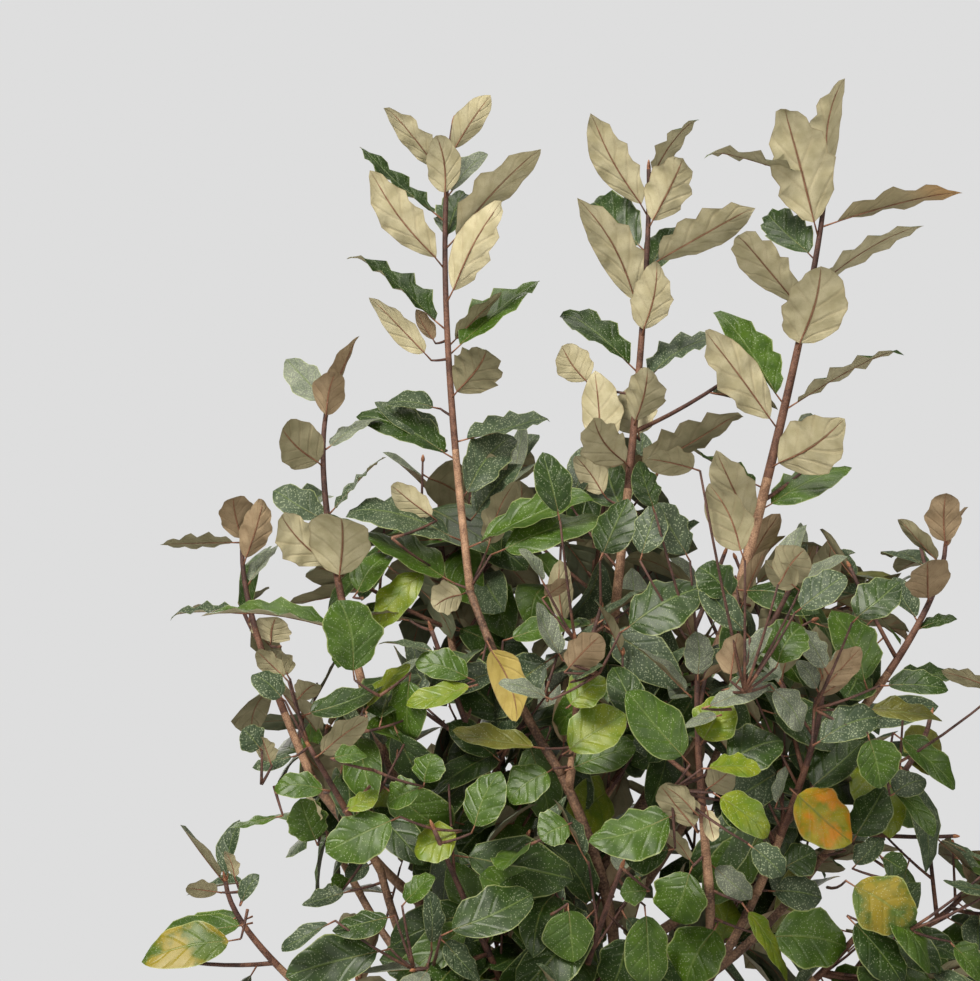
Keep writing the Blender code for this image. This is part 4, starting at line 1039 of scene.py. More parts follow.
def crosses(leaf, card):
    """True for a leaf that would cross a limb or a leaf that is already there."""
    x, y, z = cell_of(leaf)
    if limb_skin.overlap(card):
        return True
    return any(other.overlap(card)
               for i in (-1, 0, 1) for j in (-1, 0, 1) for k in (-1, 0, 1)
               for other in crowd.get((x + i, y + j, z + k), ()))


def settle(leaf, card):
    """Notes the card of a leaf that stays."""
    crowd.setdefault(tuple(cell_of(leaf)), []).append(card)


# What shows from the front: the ends of each leaf or stem in the photograph, half its width
# there, and its depth.
shown = []


def show(start, end, half):
    """Notes a leaf or a stretch of stem that nothing grown later may hide."""
    shown.append((*in_photo(start), *in_photo(end), half / PIXEL / -CAMERA_PLACE.y, min(start.y, end.y)))


def before(points, half):
    """The depths of the shown leaves and stems that the points overlap in the photograph."""
    table = np.array(shown)
    wide = table[:, 4] + half / PIXEL / CAMERA_DISTANCE
    found = []
    for point in points:
        place = np.array(in_photo(point))
        start, way = table[:, 0:2], table[:, 2:4] - table[:, 0:2]
        run = np.clip(((place - start) * way).sum(1) / (way ** 2).sum(1), 0.0, 1.0)
        gap = np.hypot(*(place - start - way * run[:, None]).T)
        found += [(depth, point.y) for depth in table[gap < wide, 5]]
    return found


def hides(points, half):
    """True where something at the points would hide a leaf or stem that shows."""
    return any(point_depth < depth + HIDING_DEPTH for depth, point_depth in before(points, half))


def fits_photo(leaf):
    """True for a leaf that leaves the sky open and hides nothing that shows."""
    points = [leaf.root + leaf.heading * leaf.size * share for share in (0.25, 0.5, 0.75, 1.0)]
    half = leaf.side * leaf.size * LEAF_EDGE_HALF
    edges = [point + way for point in points[:3] for way in (half, -half)]
    if any(in_sky(point) for point in points + edges):
        return False
    return not hides(points, leaf.size * LEAF_MIDDLE_HALF)


def grown_leaf(site, spray, dice):
    """A leaf of the rule, young ones upright about the bud and grown ones turned to light."""
    root, heading, roll, size, young = site
    if young > UPRIGHT_YOUTH:
        return Leaf(root, heading, leaf_axes(heading, roll), size, young, spray)
    heading = (heading - Vector((0.0, 0.0, dice.uniform(*HANG)))).normalized()
    return Leaf(root, heading, lit_axes(root, heading, roll), size, young, spray)


limb_skin = skin_of(["trunk", "pot", "soil"] + list(BOUGHS))
growth = {}
for name, (carrier, share, tip, bow, count, spread, seed, finer) in MASSES.items():
    line, smooth, first = stem_line(name)
    skin = skin_of([name])
    rows = SET_LEAVES.get(name, ())
    dice = random.Random(seed)
    for _ in rows:
        dice.uniform(-LEAF_TURN_SLIP, LEAF_TURN_SLIP)
    twigs = source_twigs(line, count, spread, dice, skin)
    set_drop = max((row[0] for row in rows), default=-1.0)
    leaves = []
    for drop, side, rise, size, width, facing, look in rows:
        root, _ = along(line, 1.0 - max(drop, LEAF_TIP_DROP) / run_of(line))
        heading = compass(side, rise)
        leaf = Leaf(root, heading, facing_axes(heading, facing), size, 0.0, 0.0)
        leaf.width, leaf.finish = width, look
        leaves.append(leaf)
        settle(leaf, leaf.card(WIDE_CARD))
        show(root, root + heading * size, size * width * SET_SHOWN_HALF)
    growth[name] = {
        "line": line, "smooth": smooth, "first": first, "twigs": twigs, "fine": [], "links": [],
        "leaves": leaves, "skin": skin, "free": max(set_drop + LEAF_SPACING, 0.0),
        "set_drop": set_drop, "dice": dice}

# Each leaf that shows from the front stands on the wood nearest behind it, on a short twig
# where that wood is out of its reach. It lies in front of the wood that it passes, and behind
# what was noted as shown before it and is near.
FRONT_PULL = 0.55
FORWARD_SHARE = 0.3
WOOD_CLEARANCE = 0.008
WOOD_WINDOW = 0.05
WOOD_MARGIN = 2
WOOD_RUN = (0.2, 1.0)
NEAR_LEAF = 0.03
LEAF_CLEARANCE = 0.009
NEAR_HALF = 0.7
FRONT_MARGIN = 0.012
TIP_DEPTHS = (-0.006, 0.006)
LINK_LENGTH = 0.004
STAND_STEPS = 24
BOUGH_STAND_STEPS = 16


def reach_to(stand, column, row):
    """How far off a stand is for a leaf rooted at a pixel, less when it is nearer the front."""
    place = stand[0]
    return (sighted(column, row, place.y) - place).length + FRONT_PULL * place.y


stands = [(along(line, i / STAND_STEPS)[0], name) for name, part in growth.items()
          for line in [part["line"]] + part["twigs"] for i in range(4, STAND_STEPS + 1)]
stands += [(along(limbs[MASSES[name][0]][0], 0.4 + 0.6 * i / BOUGH_STAND_STEPS)[0], name)
           for name in growth if MASSES[name][1] == 1.0 for i in range(BOUGH_STAND_STEPS + 1)]
stands_in_photo = [(place, Vector(in_photo(place))) for place, _ in stands]
looks = random.Random(7)
for root_column, root_row, tip_column, tip_row, pixels, facing, look in SEEN_LEAVES:
    carrier_place, name = min(stands, key=lambda stand: reach_to(stand, root_column, root_row))
    reach = (sighted(root_column, root_row, carrier_place.y) - carrier_place).length
    depth = carrier_place.y - FORWARD_SHARE * reach
    ends = [sighted(root_column, root_row, depth), sighted(tip_column, tip_row, depth)]
    width = round(pixels * MILLIMETRES_A_PIXEL) / 1000
    half = width / 2
    start, way = Vector((root_column, root_row)), Vector((tip_column - root_column, tip_row - root_row))
    for place, pixel in stands_in_photo:
        run = (pixel - start).dot(way) / way.length_squared
        gap = (pixel - start - way * run).length
        if (WOOD_RUN[0] < run < WOOD_RUN[1] and gap < half / PIXEL / CAMERA_DISTANCE + WOOD_MARGIN
                and -WOOD_WINDOW < place.y - depth < WOOD_CLEARANCE):
            depth = place.y - WOOD_CLEARANCE
    probes = [ends[0].lerp(ends[1], i / 4) for i in range(1, 5)]
    nearer = [other for other, _ in before(probes, half * NEAR_HALF) if abs(other - depth) < NEAR_LEAF]
    depth = max([depth] + [other + LEAF_CLEARANCE for other in nearer])
    depth = max(depth, cad_low.y + FRONT_MARGIN)
    root = sighted(root_column, root_row, depth)
    tip = sighted(tip_column, tip_row, depth + looks.uniform(*TIP_DEPTHS))
    heading = (tip - root).normalized()
    leaf = Leaf(root, heading, facing_axes(heading, facing), (tip - root).length, 0.0, 0.0)
    leaf.width = width / leaf.size / abs(facing)
    leaf.finish, leaf.seen = look, True
    if (root - carrier_place).length > LINK_LENGTH:
        growth[name]["links"].append([carrier_place, root])
    growth[name]["leaves"].append(leaf)
    settle(leaf, leaf.card(WIDE_CARD))
    show(root, tip, half * SEEN_SHOWN_HALF)

# Stems whose bark shows between the leaves.
for name in SHOWN_STEMS:
    line = growth[name]["line"] if name in growth else limbs[name][0]
    places = [along(line, 0.1 + 0.8 * i / 8)[0] for i in range(9)]
    for start, end in zip(places, places[1:]):
        show(start, end, SHOWN_STEM_HALF)

# The other leaves of the solid are those whose tips lie on its skin.
for name, part in growth.items():
    looks = random.Random(MASSES[name][6] + 500)
    runs = [(part["line"], part["set_drop"] + LEAF_SPACING, False)]
    runs += [(twig, 0.0, True) for twig in part["twigs"]]
    for points, free, on_twig in runs:
        spray = looks.random()
        for site in leaf_sites(points, free, part["dice"], on_twig):
            root, heading, roll, size, young = site
            if on_skin(part["skin"], [root + heading * size, root + heading * size * 0.8]):
                leaf = grown_leaf(site, spray, looks)
                card = leaf.card(WIDE_CARD)
                if fits_photo(leaf) and not crosses(leaf, card):
                    part["leaves"].append(leaf)
                    settle(leaf, card)
    part["twigs"] = [twig for twig in part["twigs"] if not in_sky(twig[1])]


# Where finer growth may go, and how the finer twigs and spurs leave their carriers.
BOX_MARGIN = 0.002
INSIDE_SHARE = 0.8
INSIDE_HEIGHT = 0.62
FINE_LAST = 0.94
FINE_FIRST = 0.12
FINE_STRETCH = 0.75
TWIG_FINE_SHARES = (0.35, 0.75)
TWIG_FINE_STRETCH = 0.6
MOST_ON_TWIG = 2
SPUR_FIRST = 0.42
SPUR_RUN = 0.55
SPUR_STRETCH = 0.55
TRIES = 5
FINE_SLIP = 0.02
FINE_END = 0.98
FINE_ANGLES = (42, 68)
FINE_LENGTHS = (0.7, 1.15)
FINE_LIFT = 0.20
FINE_HALF = 0.001
FINE_SPACING = LEAF_SPACING * 0.7


def in_reach(point, part):
    """True where finer growth may go: near the solid's skin, or inside the crown."""
    if point.z < LEAF_FLOOR or any(
            not cad_low[i] + BOX_MARGIN < point[i] < cad_high[i] - BOX_MARGIN for i in range(3)):
        return False
    tip = part["line"][-1]
    inside = (math.hypot(point.x, point.y) < INSIDE_SHARE * math.hypot(tip.x, tip.y)
              and point.z < INSIDE_HEIGHT)
    return part["skin"].find_nearest(point)[3] < (REACH_INSIDE if inside else REACH_PAST_SKIN)


def leafed(part, points, free, on_twig, spacing, fewest, dice, young_reach=YOUNG_REACH):
    """Adds the leaves that find room along a stem or twig; False if they are too few."""
    spray = dice.random()
    added = []
    for site in leaf_sites(points, free, dice, on_twig, spacing, young_reach):
        leaf = grown_leaf(site, spray, dice)
        card = leaf.card(SLIM_CARD)
        tip = leaf.root + leaf.heading * leaf.size
        if in_reach(tip, part) and fits_photo(leaf) and not crosses(leaf, card):
            added.append((leaf, card))
    if len(added) < fewest:
        return False
    for leaf, card in added:
        settle(leaf, card)
        part["leaves"].append(leaf)
    return True


# Finer twigs leave the stem and its twigs, and short leafy spurs leave the boughs.
for name, part in growth.items():
    carrier, share, tip, bow, count, spread, seed, finer = MASSES[name]
    dice = random.Random(seed + 1000)
    line = part["line"]
    last = min(FINE_LAST, 1.0 - part["free"] / run_of(line))
    carriers = [(line, FINE_FIRST + (last - FINE_FIRST) * (i + 0.5) / finer, FINE_STRETCH)
                for i in range(finer)]
    carriers += [(twig, dice.uniform(*TWIG_FINE_SHARES), TWIG_FINE_STRETCH)
                 for twig in part["twigs"] for _ in range(min(MOST_ON_TWIG, finer // 3))]
    if share == 1.0:
        bough = limbs[carrier][0]
        spurs = int(run_of(bough) * SPUR_RUN / SPUR_PITCH)
        carriers += [(bough, SPUR_FIRST + SPUR_RUN * i / spurs, SPUR_STRETCH) for i in range(spurs)]
    turn = dice.uniform(0.0, math.tau)
    for carrier_line, at, stretch in carriers:
        for _ in range(TRIES):
            turn += GOLDEN_ANGLE
            start, axis = along(carrier_line, min(at + dice.uniform(-FINE_SLIP, FINE_SLIP), FINE_END))
            heading = outward(axis, turn, math.radians(dice.uniform(*FINE_ANGLES)))
            length = spread * stretch * dice.uniform(*FINE_LENGTHS)
            end = start + heading * length + Vector((0.0, 0.0, FINE_LIFT * length))
            if not in_reach(end, part) or hides([start, start.lerp(end, 0.5), end], FINE_HALF):
                continue
            if leafed(part, [start, end], 0.0, True, FINE_SPACING, FEWEST_LEAVES, dice,
                      FINE_YOUNG_REACH):
                part["fine"].append([start, end])
                break
    leafed(part, line, part["free"], False, LEAF_SPACING, 0, dice)
    for points in part["twigs"]:
        leafed(part, points, 0.0, True, LEAF_SPACING, 0, dice)


# A twig bears the leaves that stand this close to its outer part. Twigs sag by a share of
# their length.
BEARING_SHARE = 0.7
BEARING_GAP = 0.003
TWIG_SAG = 0.05
FINE_TWIG_SAG = 0.06


def bears_leaves(ends, leaves):
    """True for a twig that at least one leaf stands on."""
    for leaf in leaves:
        foot, run = geometry.intersect_point_line(leaf.root, *ends)
        if run > BEARING_SHARE and (foot - leaf.root).length < BEARING_GAP:
            return True
    return False


# The wood: every stem from its bough, and its twigs that bear leaves.
stem_bm = bmesh.new()
tan, russet, plum = 0, 1, 2
for name, part in growth.items():
    points, radii = refined(part["smooth"], (part["first"], STEM_TIP_RADIUS), STEM_PITCH)
    ages = [i / len(points) for i in range(len(points))]
    grow_tube(stem_bm, points, radii, STEM_SIDES, [
        tan if age < TAN_SHARE else russet if age < RUSSET_SHARE else plum for age in ages])
    part["twigs"] = [ends for ends in part["twigs"] if bears_leaves(ends, part["leaves"])]
    for twigs, sag, ends, steps, sides, slots in (
            (part["twigs"], TWIG_SAG, TWIG_RADII, 5, 6, [russet] * 3 + [plum] * 3),
            (part["fine"] + part["links"], FINE_TWIG_SAG, FINE_TWIG_RADII, 4, 5,
             [russet] * 2 + [plum] * 3)):
        for start, tip in twigs:
            points = bend(start, tip, Vector((0.0, 0.0, -sag * (tip - start).length)), steps)
            radii = refined(points, ends, run_of(points) / steps)[1]
            grow_tube(stem_bm, points, radii, sides, slots)
bmesh.ops.recalc_face_normals(stem_bm, faces=stem_bm.faces)
mesh = mesh_of("shoot_bark", stem_bm)
mesh.shade_smooth()
for kind in (
        ("tan bark", (0.150, 0.075, 0.043), (0.430, 0.255, 0.155), 90.0, 900.0, 0.0004),
        ("russet bark", (0.055, 0.020, 0.012), (0.190, 0.086, 0.052), 110.0, 1100.0, 0.0004),
        ("plum bark", (0.028, 0.011, 0.009), (0.120, 0.050, 0.036), 120.0, 1300.0, 0.0003)):
    mesh.materials.append(bark(*kind))
shoots = link("shoot_bark", mesh)
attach(shoots, "root")
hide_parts(*MASSES)


# Buds
# Rust-brown, pointed buds of overlapping scales. One closes every stem and every side twig,
# and every third of the finer twigs. They grow on the wood and sit on its very tip.

BUD_LENGTH = 0.010
BUD_RADIUS = 0.0014
TWIG_BUD_SHARE = 0.6

bud_bm = bmesh.new()
for name, part in growth.items():
    for points in [part["line"]] + part["twigs"] + part["fine"][::3]:
        size = BUD_LENGTH if points is part["line"] else BUD_LENGTH * TWIG_BUD_SHARE
        way = (points[-1] - points[-2]).normalized()
        place = Matrix.LocRotScale(
            points[-1] + way * size * 0.25, way.to_track_quat("Z", "Y"),
            Vector((BUD_RADIUS, BUD_RADIUS, size / 2)))
        bud = bmesh.ops.create_uvsphere(
            bud_bm, u_segments=7, v_segments=6, radius=1.0, matrix=place)["verts"]
        for vert in bud:
            rise = (vert.co - points[-1]).dot(way) / size
            axis_point = points[-1] + way * (vert.co - points[-1]).dot(way)
            vert.co = axis_point + (vert.co - axis_point) * (1.25 - 0.75 * max(rise, 0.0))
mesh = mesh_of("leaf_buds", bud_bm)
mesh.shade_smooth()
mesh.materials.append(
    bark("bud scales", (0.110, 0.036, 0.018), (0.430, 0.190, 0.090), 160.0, 1400.0, 0.0002))
buds = link("leaf_buds", mesh)
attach(buds, "root")


# Leaves
# Leathery evergreen leaves on short red-brown stalks. The upper side is green, finely
# speckled with silver scales, with a thin pale margin; the underside is cream to bronze with
# a dark rust midrib. The youngest are narrow, folded and silvery. Margins are wavy.

PLAIN_ROWS = (0.0, 0.06, 0.17, 0.32, 0.48, 0.64, 0.79, 0.91, 1.0)
SHOWN_ROWS = (0.0, 0.04, 0.10, 0.17, 0.25, 0.33, 0.41, 0.49, 0.57, 0.65, 0.73, 0.81, 0.89, 0.95, 1.0)
LEAF_THICKNESS = 0.0005
STALK_SHARE = 0.12
RIB_ROWS = 7


def blank_blade(name, rows):
    """A blade one unit long and two wide: an upper and a lower sheet that share a margin."""
    bm = bmesh.new()
    bmesh.ops.create_grid(bm, x_segments=len(rows) - 1, y_segments=4, size=1.0)
    for vert in bm.verts:
        vert.co.x = rows[round((vert.co.x + 1.0) / 2 * (len(rows) - 1))]
    uv_layer = bm.loops.layers.uv.new("leaf")
    for face in bm.faces:
        for loop in face.loops:
            loop[uv_layer].uv = (loop.vert.co.x, loop.vert.co.y / 2 + 0.5)
    for end in (0.0, 1.0):
        row = [vert for vert in bm.verts if abs(vert.co.x - end) < 0.001]
        bmesh.ops.pointmerge(bm, verts=row, merge_co=(end, 0.0, 0.0))
    under = bmesh.ops.duplicate(bm, geom=bm.verts[:] + bm.edges[:] + bm.faces[:])
    lower = [part for part in under["geom"] if isinstance(part, bmesh.types.BMFace)]
    bmesh.ops.reverse_faces(bm, faces=lower)
    for face in lower:
        face.material_index = 1
        for vert in face.verts:
            if not vert.is_boundary:
                vert.co.z = -1.0
    bmesh.ops.remove_doubles(bm, verts=bm.verts, dist=0.0001)
    for edge in bm.edges:
        edge.smooth = len({face.material_index for face in edge.link_faces}) == 1
    for face in bm.faces:
        face.smooth = True
    return mesh_of(name, bm)


# The blank stalk: a three-sided bar, one unit long, that tapers in as it becomes the midrib.
bm = bmesh.new()
bar = [Vector((i / (RIB_ROWS - 1), 0.0, 0.0)) for i in range(RIB_ROWS)]
grow_tube(bm, bar, [1.0] * RIB_ROWS, 3)
bmesh.ops.recalc_face_normals(bm, faces=bm.faces)
for face in bm.faces:
    face.smooth = True
stalk_blank = mesh_of("stalk_blank", bm)


def coordinates(mesh):
    """The places of a mesh's vertices, one row for each."""
    flat = np.empty(len(mesh.vertices) * 3)
    mesh.vertices.foreach_get("co", flat)
    return flat.reshape(-1, 3)


plain_blade, shown_blade = blank_blade("plain_blade", PLAIN_ROWS), blank_blade("shown_blade", SHOWN_ROWS)
grids = {blank: coordinates(blank) for blank in (plain_blade, shown_blade, stalk_blank)}

# Kinds of leaf: its blank, how blunt its base and tip are, its width share, its fold, droop
# and tip curl in degrees, and the height and number of its margin's waves.
KINDS = {
    "shoot": (shown_blade, 0.7, 0.92, (0.38, 0.46), (16, 42), (-16, 34), (0, 85), (0.022, 0.04), (3.2, 4.8)),
    "small": (shown_blade, 0.62, 0.8, (0.4, 0.5), (16, 46), (-18, 26), (0, 60), (0.014, 0.028), (2.0, 3.4)),
    "broad": (shown_blade, 0.52, 0.58, (0.5, 0.66), (4, 26), (0, 46), (0, 50), (0.012, 0.028), (2.4, 3.8)),
    "seen": (shown_blade, 0.6, 0.72, (0.5, 0.6), (6, 32), (-6, 44), (-20, 55), (0.014, 0.032), (2.0, 3.6)),
    "crown": (plain_blade, 0.58, 0.7, (0.42, 0.58), (8, 36), (4, 66), (-10, 50), (0.01, 0.028), (1.4, 2.6)),
    "young": (plain_blade, 0.66, 0.8, (0.38, 0.5), (24, 56), (-18, 22), (0, 40), (0.008, 0.02), (1.4, 2.4)),
}


class Shape:
    """The bent, folded and waved shape of one leaf."""

    def __init__(self, leaf, kind, dice):
        self.blank, base, tip, width, fold, droop, curl, wave, pulse = KINDS[kind]
        self.root = np.array(leaf.root)
        self.axes = np.array([leaf.heading, leaf.side, leaf.top])
        self.stalk = leaf.size * STALK_SHARE
        self.blade = leaf.size - self.stalk
        self.half = leaf.size * (leaf.width or dice.uniform(*width)) / 2
        self.base, self.tip = base * dice.uniform(0.88, 1.12), tip * dice.uniform(0.88, 1.12)
        self.fold = math.radians(dice.uniform(*fold))
        self.droop = math.radians(dice.uniform(*droop))
        self.curl = math.radians(dice.uniform(*curl))
        self.wave = dice.uniform(*wave)
        self.pulse = dice.uniform(*pulse)
        self.phases = (dice.uniform(0.0, math.tau), dice.uniform(0.0, math.tau))
        self.twist = math.radians(dice.uniform(-34, 34))
        self.skew = dice.uniform(-0.13, 0.13)
        self.sway = dice.uniform(-0.07, 0.07) * self.blade
        self.shares = np.linspace(0.0, 1.0, 33)
        self.bent = self.droop * (self.shares ** 1.3 - 0.15)
        self.bent += self.curl * np.clip((self.shares - 0.72) / 0.28, 0, 1) ** 2
        steps = np.stack([np.cos(self.bent), -np.sin(self.bent)]) * self.blade / 32
        self.line = np.concatenate([np.zeros((2, 1)), np.cumsum(steps[:, :-1], axis=1)], axis=1)
        self.line[0] += self.stalk

    def place(self, share, across, lift):
        """World places of points given along the midrib, across it and above it."""
        angle = np.interp(share, self.shares, self.bent)
        x = np.interp(share, self.shares, self.line[0]) + lift * np.sin(angle)
        z = np.interp(share, self.shares, self.line[1]) + lift * np.cos(angle)
        return self.root + np.stack([x, across, z], axis=1) @ self.axes

    def blade_verts(self):
        """The blade, widest where its outline says, folded, waved and then twisted."""
        u, v, sheet = grids[self.blank].T
        widest = self.base / (self.base + self.tip)
        outline = (np.clip(u, 0, 1) / widest) ** self.base
        outline *= (np.clip(1 - u, 0, 1) / (1 - widest)) ** self.tip
        edge = np.abs(v)
        phase = np.where(v > 0, self.phases[0], self.phases[1])
        ripple = np.sin(math.tau * self.pulse * u + phase)
        half = self.half * outline * (1.0 + 3.2 * self.wave * ripple * edge + self.skew * np.sign(v))
        fold = self.fold * (1.0 - 0.45 * u)
        y = half * v * np.cos(fold)
        z = half * edge * np.sin(fold)
        z -= half * edge ** 3 * 0.20
        z += self.wave * self.blade * ripple * edge ** 1.6 * np.sin(np.pi * u) ** 0.6
        turn = self.twist * u
        y, z = y * np.cos(turn) - z * np.sin(turn), y * np.sin(turn) + z * np.cos(turn)
        y += self.sway * np.sin(np.pi * u)
        z -= np.where(sheet < -0.5, LEAF_THICKNESS * (1.0 - edge ** 2), 0.0)
        return self.place(u, y, z)

    def stalk_verts(self):
        """The stalk up to the blade, and on along its underside as the midrib."""
        share, y, z = grids[stalk_blank].T
        run = share * (self.stalk + self.blade * 0.86)
        u = np.clip((run - self.stalk) / self.blade, 0.0, 1.0)
        on_blade = u > 0.0
        radius = np.where(on_blade, 0.00060 * (1.0 - 0.75 * u), 0.00085 - 0.0002 * share)
        sunk = np.where(on_blade, -LEAF_THICKNESS * 0.8, -LEAF_THICKNESS * 0.3)
        places = self.place(u, y * radius + self.sway * np.sin(np.pi * u), z * radius + sunk)
        return places - np.clip(self.stalk - run, 0.0, None)[:, None] * self.axes[0]


def joined(name, blanks, shapes, slots=None):
    """Copies of the blanks joined into one mesh, each with its own places and finishes."""
    bm = bmesh.new()
    for blank in blanks:
        bm.from_mesh(blank)
    mesh = mesh_of(name, bm)
    mesh.vertices.foreach_set("co", np.concatenate(shapes).astype(np.float32).ravel())
    if slots is not None:
        sides = []
        for blank, pair in zip(blanks, slots):
            side = np.empty(len(blank.polygons), dtype=np.int32)
            blank.polygons.foreach_get("material_index", side)
            sides.append(np.array(pair, dtype=np.int32)[side])
        mesh.polygons.foreach_set("material_index", np.concatenate(sides))
    mesh.update()
    return mesh


# Veins and margin, read from the leaf's own map: along it and across it.
leaf_lines, given, result, add = new_group(
    "leaf lines", (),
    (("Midrib", "Float"), ("Veins", "Float"), ("Margin", "Float"), ("Tip", "Float")))
leaf_map = add("ShaderNodeUVMap", uv_map="leaf").outputs["UV"]
mapped = add("ShaderNodeSeparateXYZ", {"Vector": leaf_map}).outputs
off = reckon(add, "ABSOLUTE", reckon(add, "SUBTRACT", mapped["Y"], 0.5))
slant = reckon(add, "MULTIPLY_ADD", mapped["X"], 9.0, 0.0)
climb = reckon(add, "SUBTRACT", slant, reckon(add, "MULTIPLY", off, 5.5))
stripe = reckon(add, "PINGPONG", climb, 1.0)
feed(leaf_lines, result, {
    "Midrib": ranged(add, off, 0.012, 0.030, 1.0, 0.0),
    "Veins": ranged(add, stripe, 0.0, 0.35, 1.0, 0.0),
    "Margin": ranged(add, off, 0.468, 0.490),
    "Tip": ranged(add, mapped["X"], 0.55, 0.92)})

# Scales: the fine silver or brown dots on both sides, and the mottle under them.
leaf_scales, given, result, add = new_group(
    "leaf scales",
    (("Scale", "Float", 450.0), ("Size", "Float", 0.35), ("Mottle", "Float", 90.0)),
    (("Dots", "Float"), ("Mottle", "Float"), ("Blotch", "Float")))
place = object_place(add)
patches = add("ShaderNodeTexNoise", {"Vector": place, "Scale": 42.0, "Detail": 5.0}).outputs["Fac"]
cells = add("ShaderNodeTexVoronoi", {"Vector": place, "Scale": given["Scale"]}).outputs["Distance"]
clouds = add("ShaderNodeTexNoise", {"Vector": place, "Scale": given["Mottle"],
                                    "Detail": 3.0}).outputs["Fac"]
soft = reckon(add, "ADD", given["Size"], 0.08)
dots = ranged(add, cells, given["Size"], soft, 1.0, 0.0)
feed(leaf_scales, result, {
    "Dots": reckon(add, "MULTIPLY", dots, ranged(add, clouds, 0.3, 0.7, 0.4, 1.0)),
    "Mottle": clouds,
    "Blotch": ranged(add, patches, 0.47, 0.58)})


def leaf_side(name, blade, second, dot, dot_scale, dot_size, dot_share, rib, rib_share, rim, rim_share,
              vein_share, roughness, tint=None, tint_from="Tip"):
    """One side of a leaf: blade colours, scales, midrib, margin and the relief of its veins."""
    material, tree, shader, add = finish(name, roughness)
    lines = add("ShaderNodeGroup", node_tree=leaf_lines).outputs
    scales = add("ShaderNodeGroup", {"Scale": dot_scale, "Size": dot_size},
                 node_tree=leaf_scales).outputs

    def layer(factor, share, under, over):
        return mix(add, reckon(add, "MULTIPLY", factor, share), under, (*over, 1.0))

    colour = layer(ranged(add, scales["Mottle"], 0.35, 0.65), 1.0, (*blade, 1.0), second)
    if tint:
        colour = layer((lines if tint_from == "Tip" else scales)[tint_from], 1.0, colour, tint)
    colour = layer(lines["Veins"], vein_share, colour, rib)
    colour = layer(scales["Dots"], dot_share, colour, dot)
    colour = layer(lines["Midrib"], rib_share, colour, rib)
    colour = layer(lines["Margin"], rim_share, colour, rim)
    quilt = reckon(add, "ADD", lines["Veins"], lines["Midrib"])
    height = reckon(add, "MULTIPLY_ADD", scales["Dots"], 0.25, quilt)
    feed(tree, shader, {
        "Base Color": colour, "Specular IOR Level": 0.34,
        "Normal": relief(add, height, 0.5, 0.0006, invert=True),
        "Roughness": ranged(add, scales["Dots"], 0.0, 1.0, roughness, min(roughness + 0.25, 0.95))})
    return material


def top_side(name, blade, second, dots, grain=(620.0, 0.19), roughness=0.42, tint=None):
    """An upper side: pale silver dots, a green midrib and a pale margin."""
    return leaf_side(name, blade, second, (0.44, 0.49, 0.32), *grain, dots,
                     (0.12, 0.17, 0.04), 0.50, (0.34, 0.38, 0.15), 0.48, 0.08, roughness,
                     tint, "Blotch")


def under_side(name, blade, second, dots, roughness=0.72, tint=None):
    """An underside: fine rust-brown dots and a rust midrib."""
    return leaf_side(name, blade, second, (0.17, 0.085, 0.040), 900.0, 0.20, dots,
                     (0.20, 0.10, 0.05), 0.70, (0.26, 0.20, 0.11), 0.5, 0.10, roughness, tint)


LEAF_FINISHES = {
    # Painted shade: the deep green is partly the leaves' own darker green and partly shade, darkened for
    # leaves that stand in shade.
    "shaded_deep": top_side("deep green leaf", (0.012, 0.029, 0.0035), (0.023, 0.050, 0.005), 0.44),
    "green": top_side("green leaf", (0.028, 0.062, 0.004), (0.050, 0.098, 0.006), 0.42),
    "fresh": top_side("fresh green leaf", (0.090, 0.145, 0.006), (0.165, 0.200, 0.009), 0.45),
    "olive": top_side("olive leaf", (0.090, 0.092, 0.012), (0.135, 0.132, 0.020), 0.40),
    "frosted": top_side("frosted leaf", (0.026, 0.046, 0.020), (0.050, 0.073, 0.037), 0.52,
                        (640.0, 0.27), 0.50),
    "silver": top_side("silvery young leaf", (0.085, 0.103, 0.072), (0.150, 0.166, 0.128), 0.50,
                       (900.0, 0.34), 0.60),
    "turning": top_side("turning leaf", (0.180, 0.200, 0.007), (0.380, 0.300, 0.010), 0.30,
                        tint=(0.540, 0.210, 0.008)),
    "flecked": top_side("flecked green leaf", (0.036, 0.070, 0.005), (0.066, 0.104, 0.007), 0.45,
                        tint=(0.210, 0.160, 0.009)),
    "cream": under_side("cream underside", (0.385, 0.340, 0.205), (0.500, 0.450, 0.295), 0.26),
    "beige": under_side("beige underside", (0.205, 0.183, 0.104), (0.290, 0.260, 0.160), 0.32),
    # Painted shade: the sage underside is a darkened, greyed copy of the pale underside, standing for
    # undersides in shade inside the crown.
    "shaded_sage": under_side("sage underside", (0.090, 0.105, 0.058), (0.140, 0.152, 0.092), 0.24),
    "golden": under_side("golden underside", (0.330, 0.250, 0.062), (0.420, 0.325, 0.100), 0.20),
    "bronze": under_side("bronze underside", (0.235, 0.165, 0.096), (0.340, 0.250, 0.155), 0.46),
    "scorched": under_side("scorched underside", (0.335, 0.280, 0.165), (0.420, 0.350, 0.215), 0.26,
                           tint=(0.520, 0.300, 0.130)),
}
UPPER = ("shaded_deep", "green", "fresh", "frosted", "silver", "turning", "flecked", "olive")
YOUNG_FINISHES = ("silver", "frosted", "bronze")


